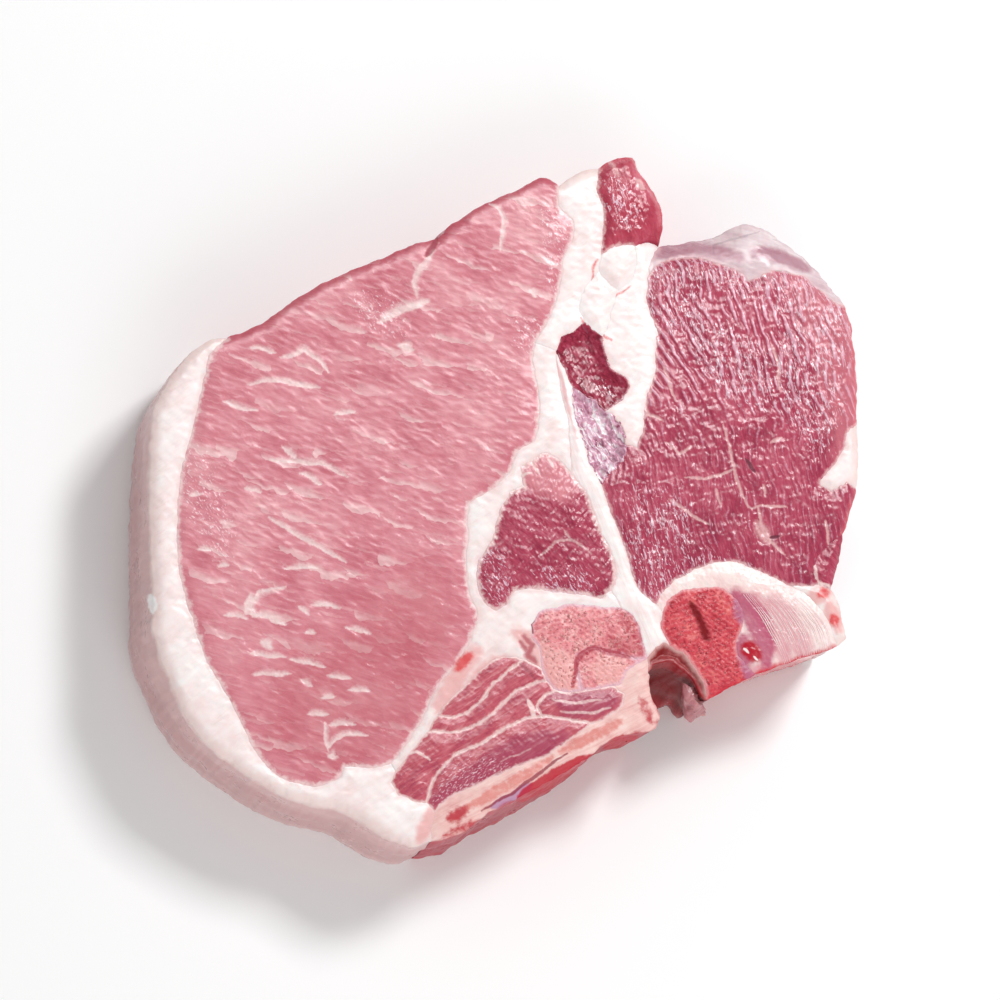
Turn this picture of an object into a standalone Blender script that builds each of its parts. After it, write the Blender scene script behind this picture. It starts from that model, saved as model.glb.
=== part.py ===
"""Raw bone-in loin steak of the t-bone cut, lying on its back face.

The steak is one slice, so every muscle, bone and layer of fat runs through its
thickness. CORNERS and SEAMS draw the cut face as a map: a seam is the line between
two pieces, or a stretch of the rim, and it ends at corners. Each piece is the slab
inside a ring of seams. Lengths are in millimetres until a mesh is written.
+X points to the tenderloin, +Y to the flank and +Z up from the back face.
"""

import math
from dataclasses import dataclass

import bmesh
import bpy
import numpy as np
from mathutils.geometry import delaunay_2d_cdt

MM = 0.001
THICKNESS = 24.0
SEAM_GAP = 0.3
CURVE_STEP = 2.2
MAP_CENTRE = (2.9, 1.5)

# The cut face isn't quite flat: two long waves cross it.
WAVE_HEIGHT = 0.35
WAVE_LENGTHS = (95.0, 70.0)
WAVE_START = 0.6
WAVE_SLANT = 0.4

# The rim's wall, from the back face up: share of the height, share of the swell.
WALL_PROFILE = ((0.0, 0.25), (0.07, 0.7), (0.25, 1.0), (0.5, 1.0), (0.75, 0.7), (0.93, 0.25), (1.0, 0.0))
BACK_EDGE_ROUNDING = 0.7
RIM_BLEND = 6.0

LEAST_TURN = 0.15
MERGE_DISTANCE = 1e-6
CROWN_REACH = 1.6
RIDGE_INSET = 1.2
LEAST_RING_DEPTH = 0.7
RELIEF_SPACING = 5.5
FINE_RELIEF_SPACING = 3.0
SMALL_PIECE_AREA = 450.0

# Where three pieces meet, or two meet at the rim.
CORNERS = {
    "cap_top": (-57.5, 33.5),
    "loin_tip": (15, 70),
    "flank_left": (24, 74.5),
    "notch": (37.5, 58),
    "tender_top_right": (78.5, 46),
    "patch_top": (79.5, 19),
    "patch_foot": (79, 5),
    "psoas_top": (75.5, -5),
    "psoas_foot": (72, -17.5),
    "disc_right": (72.5, -30),
    "disc_foot": (54.5, -36.5),
    "canal_right": (43.5, -42),
    "canal_left": (31, -36.5),
    "spine_tip": (-16, -72.5),
    "loin_foot": (-24.5, -56.5),
    "column_left": (8.5, 34.5),
    "column_right": (13, 33),
    "multifidus_top": (15.5, 6),
    "multifidus_foot": (23.5, -19),
    "pedicle_top": (33, -21.5),
    "body_top": (34.5, -23.5),
    "lining_top": (36, -30.5),
    "lamina_top": (31, -33.5),
    "facet_top": (25.5, -22.5),
    "facet_left": (8, -36),
    "strand_top": (4.5, -34),
    "facet_strands": (9, -38.5),
    "facet_foot": (11, -40.5),
    "joint_foot": (16.5, -40.5),
    "lamina_foot": (23, -39.5),
    "strands_12": (-14.5, -46),
    "strands_23": (-16.5, -49.5),
    "strands_foot": (-23.5, -58),
    "inter_foot": (7.5, -46),
    "inter_right": (18.5, -47.5),
    "strands_34": (-17, -64.5),
    "spine_shoulder": (-15.5, -66.5),
    "end_left": (62, -16.5),
    "end_middle": (69, -16.5),
    "tender_top_left": (34, 49.5),
    "pocket_right": (30, 12),
    "pocket_left": (27.5, 13),
    "dark_foot": (22, 4),
    "lobule_left": (19.5, 39.5),
    "lobule_right": (23.5, 36.5),
    "dark_right": (23.5, 20),
    "dark_left": (16.5, 24.5),
    "lobules_top": (23.5, 54.5),
    "lobules_right": (31, 57),
    "lobules_12_left": (23, 51),
    "lobules_12_right": (27.5, 47),
}

# Start corner, points passed on the way, end corner.
SEAMS = {
    # The rim, clockwise.
    "rim_loin": (
        "cap_top",
        [(-50, 37), (-42, 43), (-33.5, 48), (-23.5, 52.5), (-16, 56), (-12, 57), (-9.5, 59.5), (-2.5, 64.5),
         (6.5, 69), (11.5, 71.5)],
        "loin_tip",
    ),
    "rim_flank_fat": ("loin_tip", [(19.5, 73)], "flank_left"),
    "rim_flank": ("flank_left", [(28.5, 77), (31.5, 77), (33, 74), (36, 69.5), (38, 64)], "notch"),
    "rim_tender_fat": (
        "notch",
        [(43.5, 59.5), (50.5, 61), (56, 64), (60, 64), (66, 60.5), (71.5, 56), (76, 50)],
        "tender_top_right",
    ),
    "rim_tender_top": ("tender_top_right", [(79.5, 39.5), (80, 29)], "patch_top"),
    "rim_patch": ("patch_top", [(79.5, 12)], "patch_foot"),
    "rim_tender_foot": ("patch_foot", [(77.5, 0.5)], "psoas_top"),
    "rim_psoas": ("psoas_top", [(74, -11.5)], "psoas_foot"),
    "rim_end": ("psoas_foot", [(74, -21), (74, -24), (75, -28)], "disc_right"),
    "rim_disc": ("disc_right", [(68.5, -31.5), (63.5, -33), (58, -35)], "disc_foot"),
    "saw_body": ("disc_foot", [(51, -38)], "canal_right"),
    "canal": (
        "canal_right",
        [(42, -40.5), (40.5, -37.5), (38.5, -35.5), (36.5, -34), (34.5, -34), (32.5, -34.5)],
        "canal_left",
    ),
    "saw_spine": (
        "canal_left",
        [(31.5, -42), (33, -46), (32, -48.5), (26.5, -49.5), (21.5, -51.5), (17, -54.8), (9.8, -59.1),
         (2.4, -63.2), (-5.2, -67.2), (-10, -70.8)],
        "spine_tip",
    ),
    "rim_cap": (
        "spine_tip",
        [(-20.5, -73.5), (-24.5, -72.5), (-29.5, -69.5), (-34.5, -66.5), (-39.5, -65.5), (-47.5, -63),
         (-56, -58), (-63, -52.5), (-67.5, -46.5), (-71, -38), (-73.5, -30.5), (-73.5, -23), (-74, -10.5),
         (-74, 4.5), (-73, 17.5), (-70, 23.5), (-65.5, 29.5), (-60.5, 33)],
        "cap_top",
    ),
    # Around the loin.
    "loin_cap": (
        "cap_top",
        [(-61, 30), (-62.5, 24.5), (-65, 14), (-67.5, 3.5), (-68.5, -8), (-68, -18), (-65.5, -27), (-62.5, -36),
         (-58, -43.5), (-51.5, -56), (-47.5, -59.5), (-43, -61), (-38, -61), (-35, -59), (-34, -57), (-29, -57.5)],
        "loin_foot",
    ),
    "loin_seam": (
        "loin_foot",
        [(-21.5, -53), (-18, -47.5), (-15, -41.5), (-10.5, -35.5), (-7, -30), (-5.5, -24), (-7, -20.5),
         (-7.5, -15.5), (-7.5, -11.5), (-7, -7), (-7, -1.5), (-2.5, 1.5), (2, 6), (4.5, 11), (7.5, 13),
         (9, 18), (9, 24), (8, 30)],
        "column_left",
    ),
    "loin_column": (
        "column_left",
        [(11, 38.5), (13.5, 44), (15, 50), (15.5, 54), (17.5, 58), (17.5, 62), (14.5, 65)],
        "loin_tip",
    ),
    "column_cut": ("column_left", [], "column_right"),
    "cap_cut": ("loin_foot", [], "strands_foot"),
    # Around the multifidus and the transverse process.
    "multifidus_process": (
        "multifidus_top",
        [(18.5, 2), (20.5, -3.5), (22.5, -8.5), (24.5, -13), (24.5, -16)],
        "multifidus_foot",
    ),
    "multifidus_seam": (
        "multifidus_foot",
        [(21.5, -20.5), (16.5, -20), (10.5, -19.5), (5.5, -19), (2.5, -19.5), (1, -22.5), (-1.5, -24), (-4, -22),
         (-5.5, -18.5), (-5, -13), (-2, -9), (-1, -4.5), (0.5, -1), (2.5, 2), (5, 3), (4.5, 7), (7.5, 9),
         (10.5, 10.5), (13, 9)],
        "multifidus_top",
    ),
    "process_seam": ("column_right", [(13.5, 25.5), (15, 18)], "multifidus_top"),
    "process_foot": ("multifidus_foot", [], "facet_top"),
    "process_dark_upper": ("column_right", [(15, 28.5)], "dark_left"),
    "process_dark_lower": ("dark_left", [(16.5, 19.5), (18, 14.5), (19.5, 9)], "dark_foot"),
    "process_tender": ("dark_foot", [(23, 0), (25.5, -6.5), (27.5, -12.5), (29.5, -18.5)], "pedicle_top"),
    "process_disc": ("pedicle_top", [], "body_top"),
    "process_body": ("body_top", [(34, -26.5)], "lining_top"),
    "process_lining": ("lining_top", [(34.5, -30), (32.5, -31)], "lamina_top"),
    "process_facet": ("lamina_top", [(30, -30), (29.5, -27), (28, -24)], "facet_top"),
    # Around the canal and the facet joint.
    "lining_body": ("lining_top", [(38.5, -32), (41, -35), (43, -38.5)], "canal_right"),
    "lining_spine": ("canal_left", [], "lamina_top"),
    "facet_seam": (
        "facet_top",
        [(21.5, -22.5), (15, -22), (11, -23), (7.5, -24), (6, -26.5), (6, -29.5), (7.5, -31.5)],
        "facet_left",
    ),
    "facet_strand_2": ("facet_left", [], "facet_strands"),
    "facet_strand_3": ("facet_strands", [], "facet_foot"),
    "facet_inter": ("facet_foot", [(13.5, -41)], "joint_foot"),
    "facet_joint": ("joint_foot", [(15.5, -36.5), (16, -33), (19, -31.5), (22.5, -32), (26, -33)], "lamina_top"),
    "lower_inter": ("joint_foot", [(20, -40)], "lamina_foot"),
    "lower_spine": ("lamina_foot", [(25, -39), (26, -36.5), (28.5, -34.5)], "lamina_top"),
    # Around the side muscles along the spinous process.
    "inter_spine": ("lamina_foot", [(25.5, -41), (25, -43.5), (22, -46)], "inter_right"),
    "inter_strand_4": ("inter_foot", [(11.5, -46.5), (15.5, -47)], "inter_right"),
    "inter_strand_3": ("facet_foot", [(8, -42), (6.5, -44)], "inter_foot"),
    "strand_1_seam": ("strand_top", [(0, -33.5), (-3.5, -35), (-7.5, -39), (-11.5, -42.5)], "strands_12"),
    "strand_1_2": ("strand_top", [(-0.5, -37.5), (-4.5, -42), (-7.5, -45), (-11, -46.5)], "strands_12"),
    "strand_2_top": ("strand_top", [], "facet_left"),
    "strand_2_foot": ("strands_12", [], "strands_23"),
    "strand_2_3": (
        "facet_strands",
        [(5, -39.5), (1.5, -41.5), (-1, -44), (-5.5, -47.5), (-10, -49.5)],
        "strands_23",
    ),
    "strand_3_seam": ("strands_23", [(-20, -53.5)], "strands_foot"),
    "strand_3_4": (
        "inter_foot",
        [(4.5, -46.5), (0, -48.5), (-5.5, -52), (-11, -54.5), (-14, -57.5), (-16.5, -61.5)],
        "strands_34",
    ),
    "strand_3_cap": ("strands_foot", [(-24.5, -60.5), (-23, -63), (-20.5, -64)], "strands_34"),
    "strand_4_cap": ("strands_34", [], "spine_shoulder"),
    "strand_4_spine": (
        "spine_shoulder",
        [(-12.5, -63.5), (-6, -60.5), (1.5, -57), (8, -54.5), (13.5, -51)],
        "inter_right",
    ),
    "spine_cap": ("spine_tip", [(-16.5, -70)], "spine_shoulder"),
    # Around the disc.
    "disc_body": (
        "body_top",
        [(36, -20.5), (38.5, -18.5), (42, -18), (46.5, -17.5), (50, -19), (52, -22.5), (52, -26), (50.5, -29),
         (50.8, -32.5)],
        "disc_foot",
    ),
    "disc_tender": (
        "pedicle_top",
        [(35, -19), (37.5, -16.5), (41, -14.5), (45.5, -12.5), (50.5, -12), (56.5, -14)],
        "end_left",
    ),
    "disc_end": ("end_left", [(66, -18.5), (69.5, -22), (71.5, -26.5)], "disc_right"),
    "tender_end": ("end_left", [(65.5, -17)], "end_middle"),
    "psoas_end": ("end_middle", [], "psoas_foot"),
    # Around the tenderloin.
    "tender_psoas": ("psoas_top", [(71.5, -8), (69, -11), (68, -13.5)], "end_middle"),
    "tender_patch": (
        "patch_foot",
        [(76.5, 6), (73, 4), (70.5, 5.5), (73, 9), (76, 13), (77, 17)],
        "patch_top",
    ),
    "tender_fat": (
        "tender_top_right",
        [(76, 46), (74, 48.5), (71, 51), (67, 52.5), (62, 53), (59, 51.5), (56.5, 50.5), (54, 52.5), (50, 54),
         (45, 55.5), (40.5, 55), (36, 53)],
        "tender_top_left",
    ),
    "fat_notch": ("notch", [(35, 54.5)], "tender_top_left"),
    "tender_pocket": (
        "tender_top_left",
        [(33.5, 44), (35.5, 38.5), (35, 34), (34.5, 28), (32.5, 23.5), (31.5, 16.5)],
        "pocket_right",
    ),
    "pocket_foot": ("pocket_right", [], "pocket_left"),
    "tender_dark": ("pocket_left", [(27, 9.5), (24, 6.5)], "dark_foot"),
    # Around the dark muscles and the fat lobules.
    "pocket_dark_lower": ("dark_right", [(26, 18), (27.5, 15.5)], "pocket_left"),
    "dark_joint": ("dark_left", [(18.5, 23.5), (21.5, 22)], "dark_right"),
    "pocket_dark_upper": (
        "lobule_right",
        [(24, 32.5), (25, 29.5), (28.5, 27.5), (29, 25.5), (27, 22.5)],
        "dark_right",
    ),
    "column_dark": ("lobule_left", [(17, 37.5), (14.5, 36)], "column_right"),
    "lobule_2_dark": ("lobule_left", [], "lobule_right"),
    "lobule_2_pocket": ("lobule_right", [(25, 40), (26, 44)], "lobules_12_right"),
    "lobules_12": ("lobules_12_right", [(25.5, 48)], "lobules_12_left"),
    "column_lobule_2": ("lobules_12_left", [(21, 48.5), (19, 45.5), (18.5, 42)], "lobule_left"),
    "column_lobule_1": ("lobules_top", [], "lobules_12_left"),
    "lobule_1_pocket": ("lobules_right", [(31.5, 54), (30.5, 50)], "lobules_12_right"),
    "flank_lobule_1": ("lobules_top", [(25.5, 56), (28, 57)], "lobules_right"),
    "flank_pocket": ("lobules_right", [(34, 58)], "notch"),
    "flank_column": ("flank_left", [(23, 69), (24.5, 64.5), (24, 59)], "lobules_top"),
}


@dataclass(frozen=True)
class Rim:
    """How a stretch of the rim stands: its wall's swell, its rounded shoulder, and how far its foot is moved.

    The swell and the foot's shift are given at even places along the stretch.
    """

    swell: tuple[float, ...]
    shoulder_drop: float
    shoulder_width: float
    foot_shift: tuple[tuple[float, float], ...] = ((0.0, 0.0),)

    def values(self, count: int) -> np.ndarray:
        """Swell, shoulder drop and width, and foot shift, one row for each of a number of even places."""
        swell, shift_x, shift_y = (
            np.interp(np.linspace(0, len(given) - 1, count), np.arange(len(given)), given)
            for given in (self.swell, *zip(*self.foot_shift))
        )
        shoulder = np.full((count, 2), (self.shoulder_drop, self.shoulder_width))
        return np.column_stack([swell, shoulder, shift_x, shift_y])


RIMS = {
    "rim_loin": Rim((1.0, 1.2, 1.2, 1.0), 0.9, 2.5),
    "rim_flank_fat": Rim((0.8,), 1.0, 3.0),
    "rim_flank": Rim((0.8,), 1.2, 3.0),
    "rim_tender_fat": Rim((0.8, 1.5, 1.5), 4.0, 9.0),
    "rim_tender_top": Rim((1.4,), 1.4, 4.0),
    "rim_patch": Rim((1.2,), 1.0, 3.0),
    "rim_tender_foot": Rim((1.0,), 1.0, 3.0),
    "rim_psoas": Rim((0.8,), 1.0, 3.0),
    "rim_end": Rim((0.6,), 1.0, 2.5),
    "rim_disc": Rim((0.1,), 0.2, 1.0, ((-0.5, 1.4),)),
    "saw_body": Rim((0.0,), 0.2, 1.0, ((-0.8, 1.5),)),
    "canal": Rim((0.0,), 0.6, 1.5, ((0, 0), (0, 0), (0, 0), (1.0, -6.0), (0.5, -6.0), (0, -2.5))),
    "saw_spine": Rim(
        (0.1,),
        0.3,
        1.0,
        ((0, 0), (0, 1.5), (0, 0.5), (0.5, -1.0), (0.7, -1.3), (0.7, -1.3), (0.6, -1.2), (0.2, -0.5)),
    ),
    "rim_cap": Rim((0.3, 1.6, 0.8, 3.0, 2.2, 1.0, 1.0), 0.8, 2.0),
}


@dataclass(frozen=True)
class Piece:
    """A slab: the seams round it (a minus sign runs one backwards), its crown in mm and its finish."""

    seams: tuple[str, ...]
    crown: float
    colour: str
    roughness: float = 0.35


FAT = "F6E6E1"
RED_MUSCLE = "B4485A"
SIDE_MUSCLE = "C4606C"
BONE = "DE9A9A"

PIECES = {
    "loin_eye": Piece(("rim_loin", "-loin_column", "-loin_seam", "-loin_cap"), 0.5, "DC939A"),
    "fat_cap": Piece(
        ("loin_cap", "cap_cut", "strand_3_cap", "strand_4_cap", "-spine_cap", "rim_cap"), 0.3, FAT
    ),
    "seam_fat": Piece(
        ("loin_seam", "column_cut", "process_seam", "-multifidus_seam", "process_foot", "facet_seam",
         "-strand_2_top", "strand_1_seam", "strand_2_foot", "strand_3_seam", "-cap_cut"),
        0.2,
        FAT,
    ),
    "flank_fat": Piece(
        ("loin_column", "rim_flank_fat", "flank_column", "column_lobule_1", "column_lobule_2", "column_dark",
         "-column_cut"),
        0.3,
        FAT,
    ),
    "pocket_fat": Piece(
        ("flank_pocket", "fat_notch", "tender_pocket", "pocket_foot", "-pocket_dark_lower", "-pocket_dark_upper",
         "lobule_2_pocket", "-lobule_1_pocket"),
        0.3,
        FAT,
    ),
    "multifidus": Piece(("multifidus_process", "multifidus_seam"), 0.6, "AC4C60"),
    "side_muscle_1": Piece(("strand_1_2", "-strand_1_seam"), 0.5, SIDE_MUSCLE),
    "side_muscle_2": Piece(
        ("strand_2_top", "facet_strand_2", "strand_2_3", "-strand_2_foot", "-strand_1_2"), 0.5, SIDE_MUSCLE
    ),
    "side_muscle_3": Piece(
        ("facet_strand_3", "inter_strand_3", "strand_3_4", "-strand_3_cap", "-strand_3_seam", "-strand_2_3"),
        0.5,
        SIDE_MUSCLE,
    ),
    "side_muscle_4": Piece(
        ("inter_strand_4", "-strand_4_spine", "-strand_4_cap", "-strand_3_4"), 0.5, "A8455C"
    ),
    "interspinal_muscle": Piece(
        ("facet_inter", "lower_inter", "inter_spine", "-inter_strand_4", "-inter_strand_3"), 0.5, "BC4A5A"
    ),
    "upper_facet": Piece(
        ("facet_seam", "facet_strand_2", "facet_strand_3", "facet_inter", "facet_joint", "process_facet"), 0.4, BONE
    ),
    "lower_facet": Piece(("lower_inter", "lower_spine", "-facet_joint"), 0.3, BONE),
    "spinous_process": Piece(
        ("saw_spine", "spine_cap", "strand_4_spine", "-inter_spine", "lower_spine", "-lining_spine"), 0.2, "EBB9B6"
    ),
    "vertebral_body": Piece(("disc_body", "saw_body", "-lining_body", "-process_body"), 0.3, "C2575C"),
    "disc": Piece(("disc_tender", "disc_end", "rim_disc", "-disc_body", "-process_disc"), 0.4, "EBC8C6"),
    "canal_lining": Piece(("process_lining", "-lining_spine", "-canal", "-lining_body"), -1.6, "8A5450"),
    "transverse_process": Piece(
        ("process_dark_upper", "process_dark_lower", "process_tender", "process_disc", "process_body",
         "process_lining", "process_facet", "-process_foot", "-multifidus_process", "-process_seam"),
        0.3,
        "F2DAD6",
    ),
    "tenderloin": Piece(
        ("tender_fat", "tender_pocket", "pocket_foot", "tender_dark", "process_tender", "disc_tender", "tender_end",
         "-tender_psoas", "-rim_tender_foot", "tender_patch", "-rim_tender_top"),
        0.8,
        "B84C60",
    ),
    "psoas_minor": Piece(("rim_psoas", "-psoas_end", "-tender_psoas"), 0.5, RED_MUSCLE),
    "tenderloin_fat": Piece(("rim_tender_fat", "tender_fat", "-fat_notch"), 0.3, "E4D6D8"),
    "rim_fat_patch": Piece(("rim_patch", "tender_patch"), 0.3, FAT),
    "end_fat": Piece(("rim_end", "-disc_end", "tender_end", "psoas_end"), 0.5, FAT),
    "dark_muscle_upper": Piece(
        ("column_dark", "process_dark_upper", "dark_joint", "-pocket_dark_upper", "-lobule_2_dark"), -0.9, "8E2E40"
    ),
    "dark_muscle_lower": Piece(
        ("process_dark_lower", "-tender_dark", "-pocket_dark_lower", "-dark_joint"), -1.3, "7E2C48", 0.2
    ),
    "fat_lobule_1": Piece(("flank_lobule_1", "lobule_1_pocket", "lobules_12", "-column_lobule_1"), 1.0, FAT),
    "fat_lobule_2": Piece(("column_lobule_2", "lobule_2_dark", "lobule_2_pocket", "lobules_12"), 0.9, FAT),
    "flank_muscle": Piece(("rim_flank", "-flank_pocket", "-flank_lobule_1", "-flank_column"), 1.2, RED_MUSCLE),
}

# A scrap of membrane hangs in the mouth of the spinal canal: its outlines from its lower end up, with their heights.
SCRAP_LOOPS = (
    (14.5, [(40.4, -41.0), (40.8, -44.1), (42.3, -45.3), (44.0, -44.1), (45.8, -43.0), (44.0, -43.1), (42.0, -42.0)]),
    (18.5, [(39.5, -39.4), (39.9, -42.7), (41.4, -43.9), (42.9, -43.9), (44.6, -43.0), (43.0, -42.6), (41.3, -41.0)]),
    (22.2, [(38.6, -37.9), (38.7, -41.2), (40.1, -42.6), (41.9, -43.2), (42.9, -42.8), (41.6, -40.9), (40.4, -38.5)]),
)
SCRAP_COLOUR = "A8605C"
SCRAP_ROUGHNESS = 0.35


def clear_scene() -> None:
    """Removes every object that the scene starts with."""
    for obj in list(bpy.data.objects):
        bpy.data.objects.remove(obj, do_unlink=True)


def linear(hex_colour: str) -> tuple[float, float, float, float]:
    """Turns an sRGB hex colour into the linear colour that a shader takes."""
    channels = [int(hex_colour[i : i + 2], 16) / 255 for i in (0, 2, 4)]
    red, green, blue = (c / 12.92 if c <= 0.04045 else ((c + 0.055) / 1.055) ** 2.4 for c in channels)
    return red, green, blue, 1.0


def add_material(obj: bpy.types.Object, colour: str, roughness: float) -> None:
    """Gives the object its own plain wet-looking material."""
    material = bpy.data.materials.new(f"{obj.name}_surface")
    material.use_nodes = True
    shader = material.node_tree.nodes["Principled BSDF"]
    shader.inputs["Base Color"].default_value = linear(colour)
    shader.inputs["Roughness"].default_value = roughness
    shader.inputs["Metallic"].default_value = 0.0
    obj.data.materials.append(material)


def span_points(
    before: np.ndarray, start: np.ndarray, end: np.ndarray, after: np.ndarray, count: int
) -> list[np.ndarray]:
    """Points on one span of a centripetal Catmull-Rom curve, from start and short of end."""
    ends = (before, start, end, after)
    knots = np.cumsum([0.0] + [math.sqrt(np.linalg.norm(b - a)) for a, b in zip(ends, ends[1:])])

    def between(low: np.ndarray, high: np.ndarray, first: int, second: int, at: float) -> np.ndarray:
        """The point between two others that a knot value between theirs stands for."""
        share = (at - knots[first]) / (knots[second] - knots[first])
        return low * (1 - share) + high * share

    points = []
    for at in np.linspace(knots[1], knots[2], count, endpoint=False):
        a, b, c = (between(ends[i], ends[i + 1], i, i + 1, at) for i in range(3))
        points.append(between(between(a, b, 0, 2, at), between(b, c, 1, 3, at), 1, 2, at))
    return points


def seam_curve(name: str) -> np.ndarray:
    """A smooth curve through a seam's points, about a CURVE_STEP between samples."""
    first, through, last = SEAMS[name]
    knots = np.array([CORNERS[first], *through, CORNERS[last]], float)
    padded = np.vstack([2 * knots[0] - knots[1], knots, 2 * knots[-1] - knots[-2]])
    curve = []
    for before, start, end, after in zip(padded, padded[1:], padded[2:], padded[3:]):
        count = max(1, round(np.linalg.norm(end - start) / CURVE_STEP))
        curve.extend(span_points(before, start, end, after, count))
    return np.array([*curve, knots[-1]])


def rim_loop(curves: dict[str, np.ndarray]) -> tuple[np.ndarray, np.ndarray, np.ndarray]:
    """The whole rim: its samples, their outward normals and the values of its stretches, blended where they meet."""
    points, values = [], []
    for name, rim in RIMS.items():
        curve = curves[name][:-1]
        points.append(curve)
        values.append(rim.values(len(curve)))
    points, values = np.vstack(points), np.vstack(values)
    along = np.roll(points, -1, axis=0) - np.roll(points, 1, axis=0)
    outward = np.column_stack([-along[:, 1], along[:, 0]])
    outward /= np.linalg.norm(outward, axis=1)[:, None]
    steps = np.linalg.norm(np.roll(points, -1, axis=0) - points, axis=1)
    places = np.concatenate([[0.0], np.cumsum(steps)[:-1]])
    apart = np.abs(places[:, None] - places[None, :])
    apart = np.minimum(apart, steps.sum() - apart)
    weights = np.clip(1 - apart / RIM_BLEND, 0, None)
    values = weights @ values / weights.sum(axis=1)[:, None]
    return points, outward, values


def distance_to_loop(points: np.ndarray, loop: np.ndarray) -> np.ndarray:
    """How far each point is from the nearest side of a closed loop."""
    sides = np.roll(loop, -1, axis=0) - loop
    offset = points[:, None] - loop[None]
    share = np.clip((offset * sides).sum(-1) / (sides * sides).sum(-1), 0, 1)
    return np.linalg.norm(offset - share[..., None] * sides, axis=-1).min(axis=1)


def inside(points: np.ndarray, loop: np.ndarray) -> np.ndarray:
    """Whether each point is inside the loop, by counting crossings."""
    x, y = points[:, 0][:, None], points[:, 1][:, None]
    (ax, ay), (bx, by) = loop.T, np.roll(loop, -1, axis=0).T
    crosses = ((ay > y) != (by > y)) & (x < ax + (y - ay) * (bx - ax) / np.where(by == ay, 1, by - ay))
    return crosses.sum(axis=1) % 2 == 1


def inset(loop: np.ndarray, amounts: np.ndarray) -> np.ndarray:
    """Moves each side of a counter-clockwise loop inwards by its own amount and meets the sides again."""
    sides = np.roll(loop, -1, axis=0) - loop
    sides /= np.linalg.norm(sides, axis=1)[:, None]
    inward = np.column_stack([-sides[:, 1], sides[:, 0]])
    before, before_amounts = np.roll(inward, 1, axis=0), np.roll(amounts, 1)
    turn = before[:, 0] * inward[:, 1] - before[:, 1] * inward[:, 0]
    straight = np.abs(turn) < LEAST_TURN
    meeting = np.column_stack([
        before_amounts * inward[:, 1] - amounts * before[:, 1],
        amounts * before[:, 0] - before_amounts * inward[:, 0],
    ]) / np.where(straight, 1.0, turn)[:, None]
    average = (before * before_amounts[:, None] + inward * amounts[:, None]) / 2
    return loop + np.where(straight[:, None], average, meeting)


class Steak:
    """The map's curves, the rim and the height of the cut face."""

    def __init__(self) -> None:
        self.curves = {name: seam_curve(name) for name in SEAMS}
        self.rim_points, self.rim_outward, self.rim_values = rim_loop(self.curves)

    def height(self, points: np.ndarray) -> np.ndarray:
        """The cut face's height at each point, without any piece's own crown."""
        x, y = points.T
        across, along = (2 * math.pi / length for length in WAVE_LENGTHS)
        waves = WAVE_HEIGHT * (np.sin(across * x + WAVE_START) + np.cos(along * (y - WAVE_SLANT * x)))
        away = np.linalg.norm(points[:, None] - self.rim_points[None], axis=-1)
        nearest = away.argmin(axis=1)
        drop, width = self.rim_values[nearest, 1:3].T
        shoulder = drop * np.clip(1 - away.min(axis=1) / width, 0, 1) ** 2
        return THICKNESS + waves - shoulder

    def outline(self, piece: Piece) -> tuple[np.ndarray, np.ndarray]:
        """A piece's loop, counter-clockwise, and for each of its sides whether it lies on the rim."""
        points, on_rim = [], []
        for seam in piece.seams:
            name = seam.lstrip("-")
            curve = self.curves[name][::-1] if seam.startswith("-") else self.curves[name]
            points.append(curve[:-1])
            on_rim.extend([name in RIMS] * (len(curve) - 1))
        loop, flags = np.vstack(points), np.array(on_rim)
        ahead = np.roll(loop, -1, axis=0)
        if (loop[:, 0] * ahead[:, 1] - loop[:, 1] * ahead[:, 0]).sum() < 0:
            loop, flags = loop[::-1], np.roll(flags[::-1], -1)
        return loop, flags

    def moved(self, loop: np.ndarray, at_rim: np.ndarray, height_share: float, swell_share: float) -> np.ndarray:
        """The loop with its rim points where the wall stands at a share of its height."""
        moved = loop.copy()
        for i in np.flatnonzero(at_rim):
            sample = np.linalg.norm(self.rim_points - loop[i], axis=1).argmin()
            swell, drop, _, *foot_shift = self.rim_values[sample]
            rounding = BACK_EDGE_ROUNDING * min(1.0, drop) if height_share == 0 else 0.0
            moved[i] += self.rim_outward[sample] * (swell * swell_share - rounding)
            moved[i] += np.array(foot_shift) * (1 - height_share)
        return moved


def ring_points(loop: np.ndarray, depth: float) -> np.ndarray:
    """Points a little way inside a loop, no two of them close together."""
    ring = inset(loop, np.full(len(loop), depth))
    kept = []
    for point in ring[inside(ring, loop)]:
        if all(np.linalg.norm(point - other) > depth for other in kept):
            kept.append(point)
    ring = np.array(kept).reshape(-1, 2)
    return ring[distance_to_loop(ring, loop) > LEAST_RING_DEPTH * depth] if len(ring) else ring


def relief_points(loop: np.ndarray, spacing: float) -> np.ndarray:
    """A grid of staggered rows inside a loop, clear of its ring of edge points."""
    low, high = loop.min(axis=0), loop.max(axis=0)
    rows = np.arange(low[1], high[1], spacing * math.sin(math.pi / 3))
    grid = np.array([
        (x + (row % 2) * spacing / 2, y)
        for row, y in enumerate(rows)
        for x in np.arange(low[0], high[0], spacing)
    ])
    grid = grid[inside(grid, loop)]
    return grid[distance_to_loop(grid, loop) > RIDGE_INSET + spacing / 2] if len(grid) else grid


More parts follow.
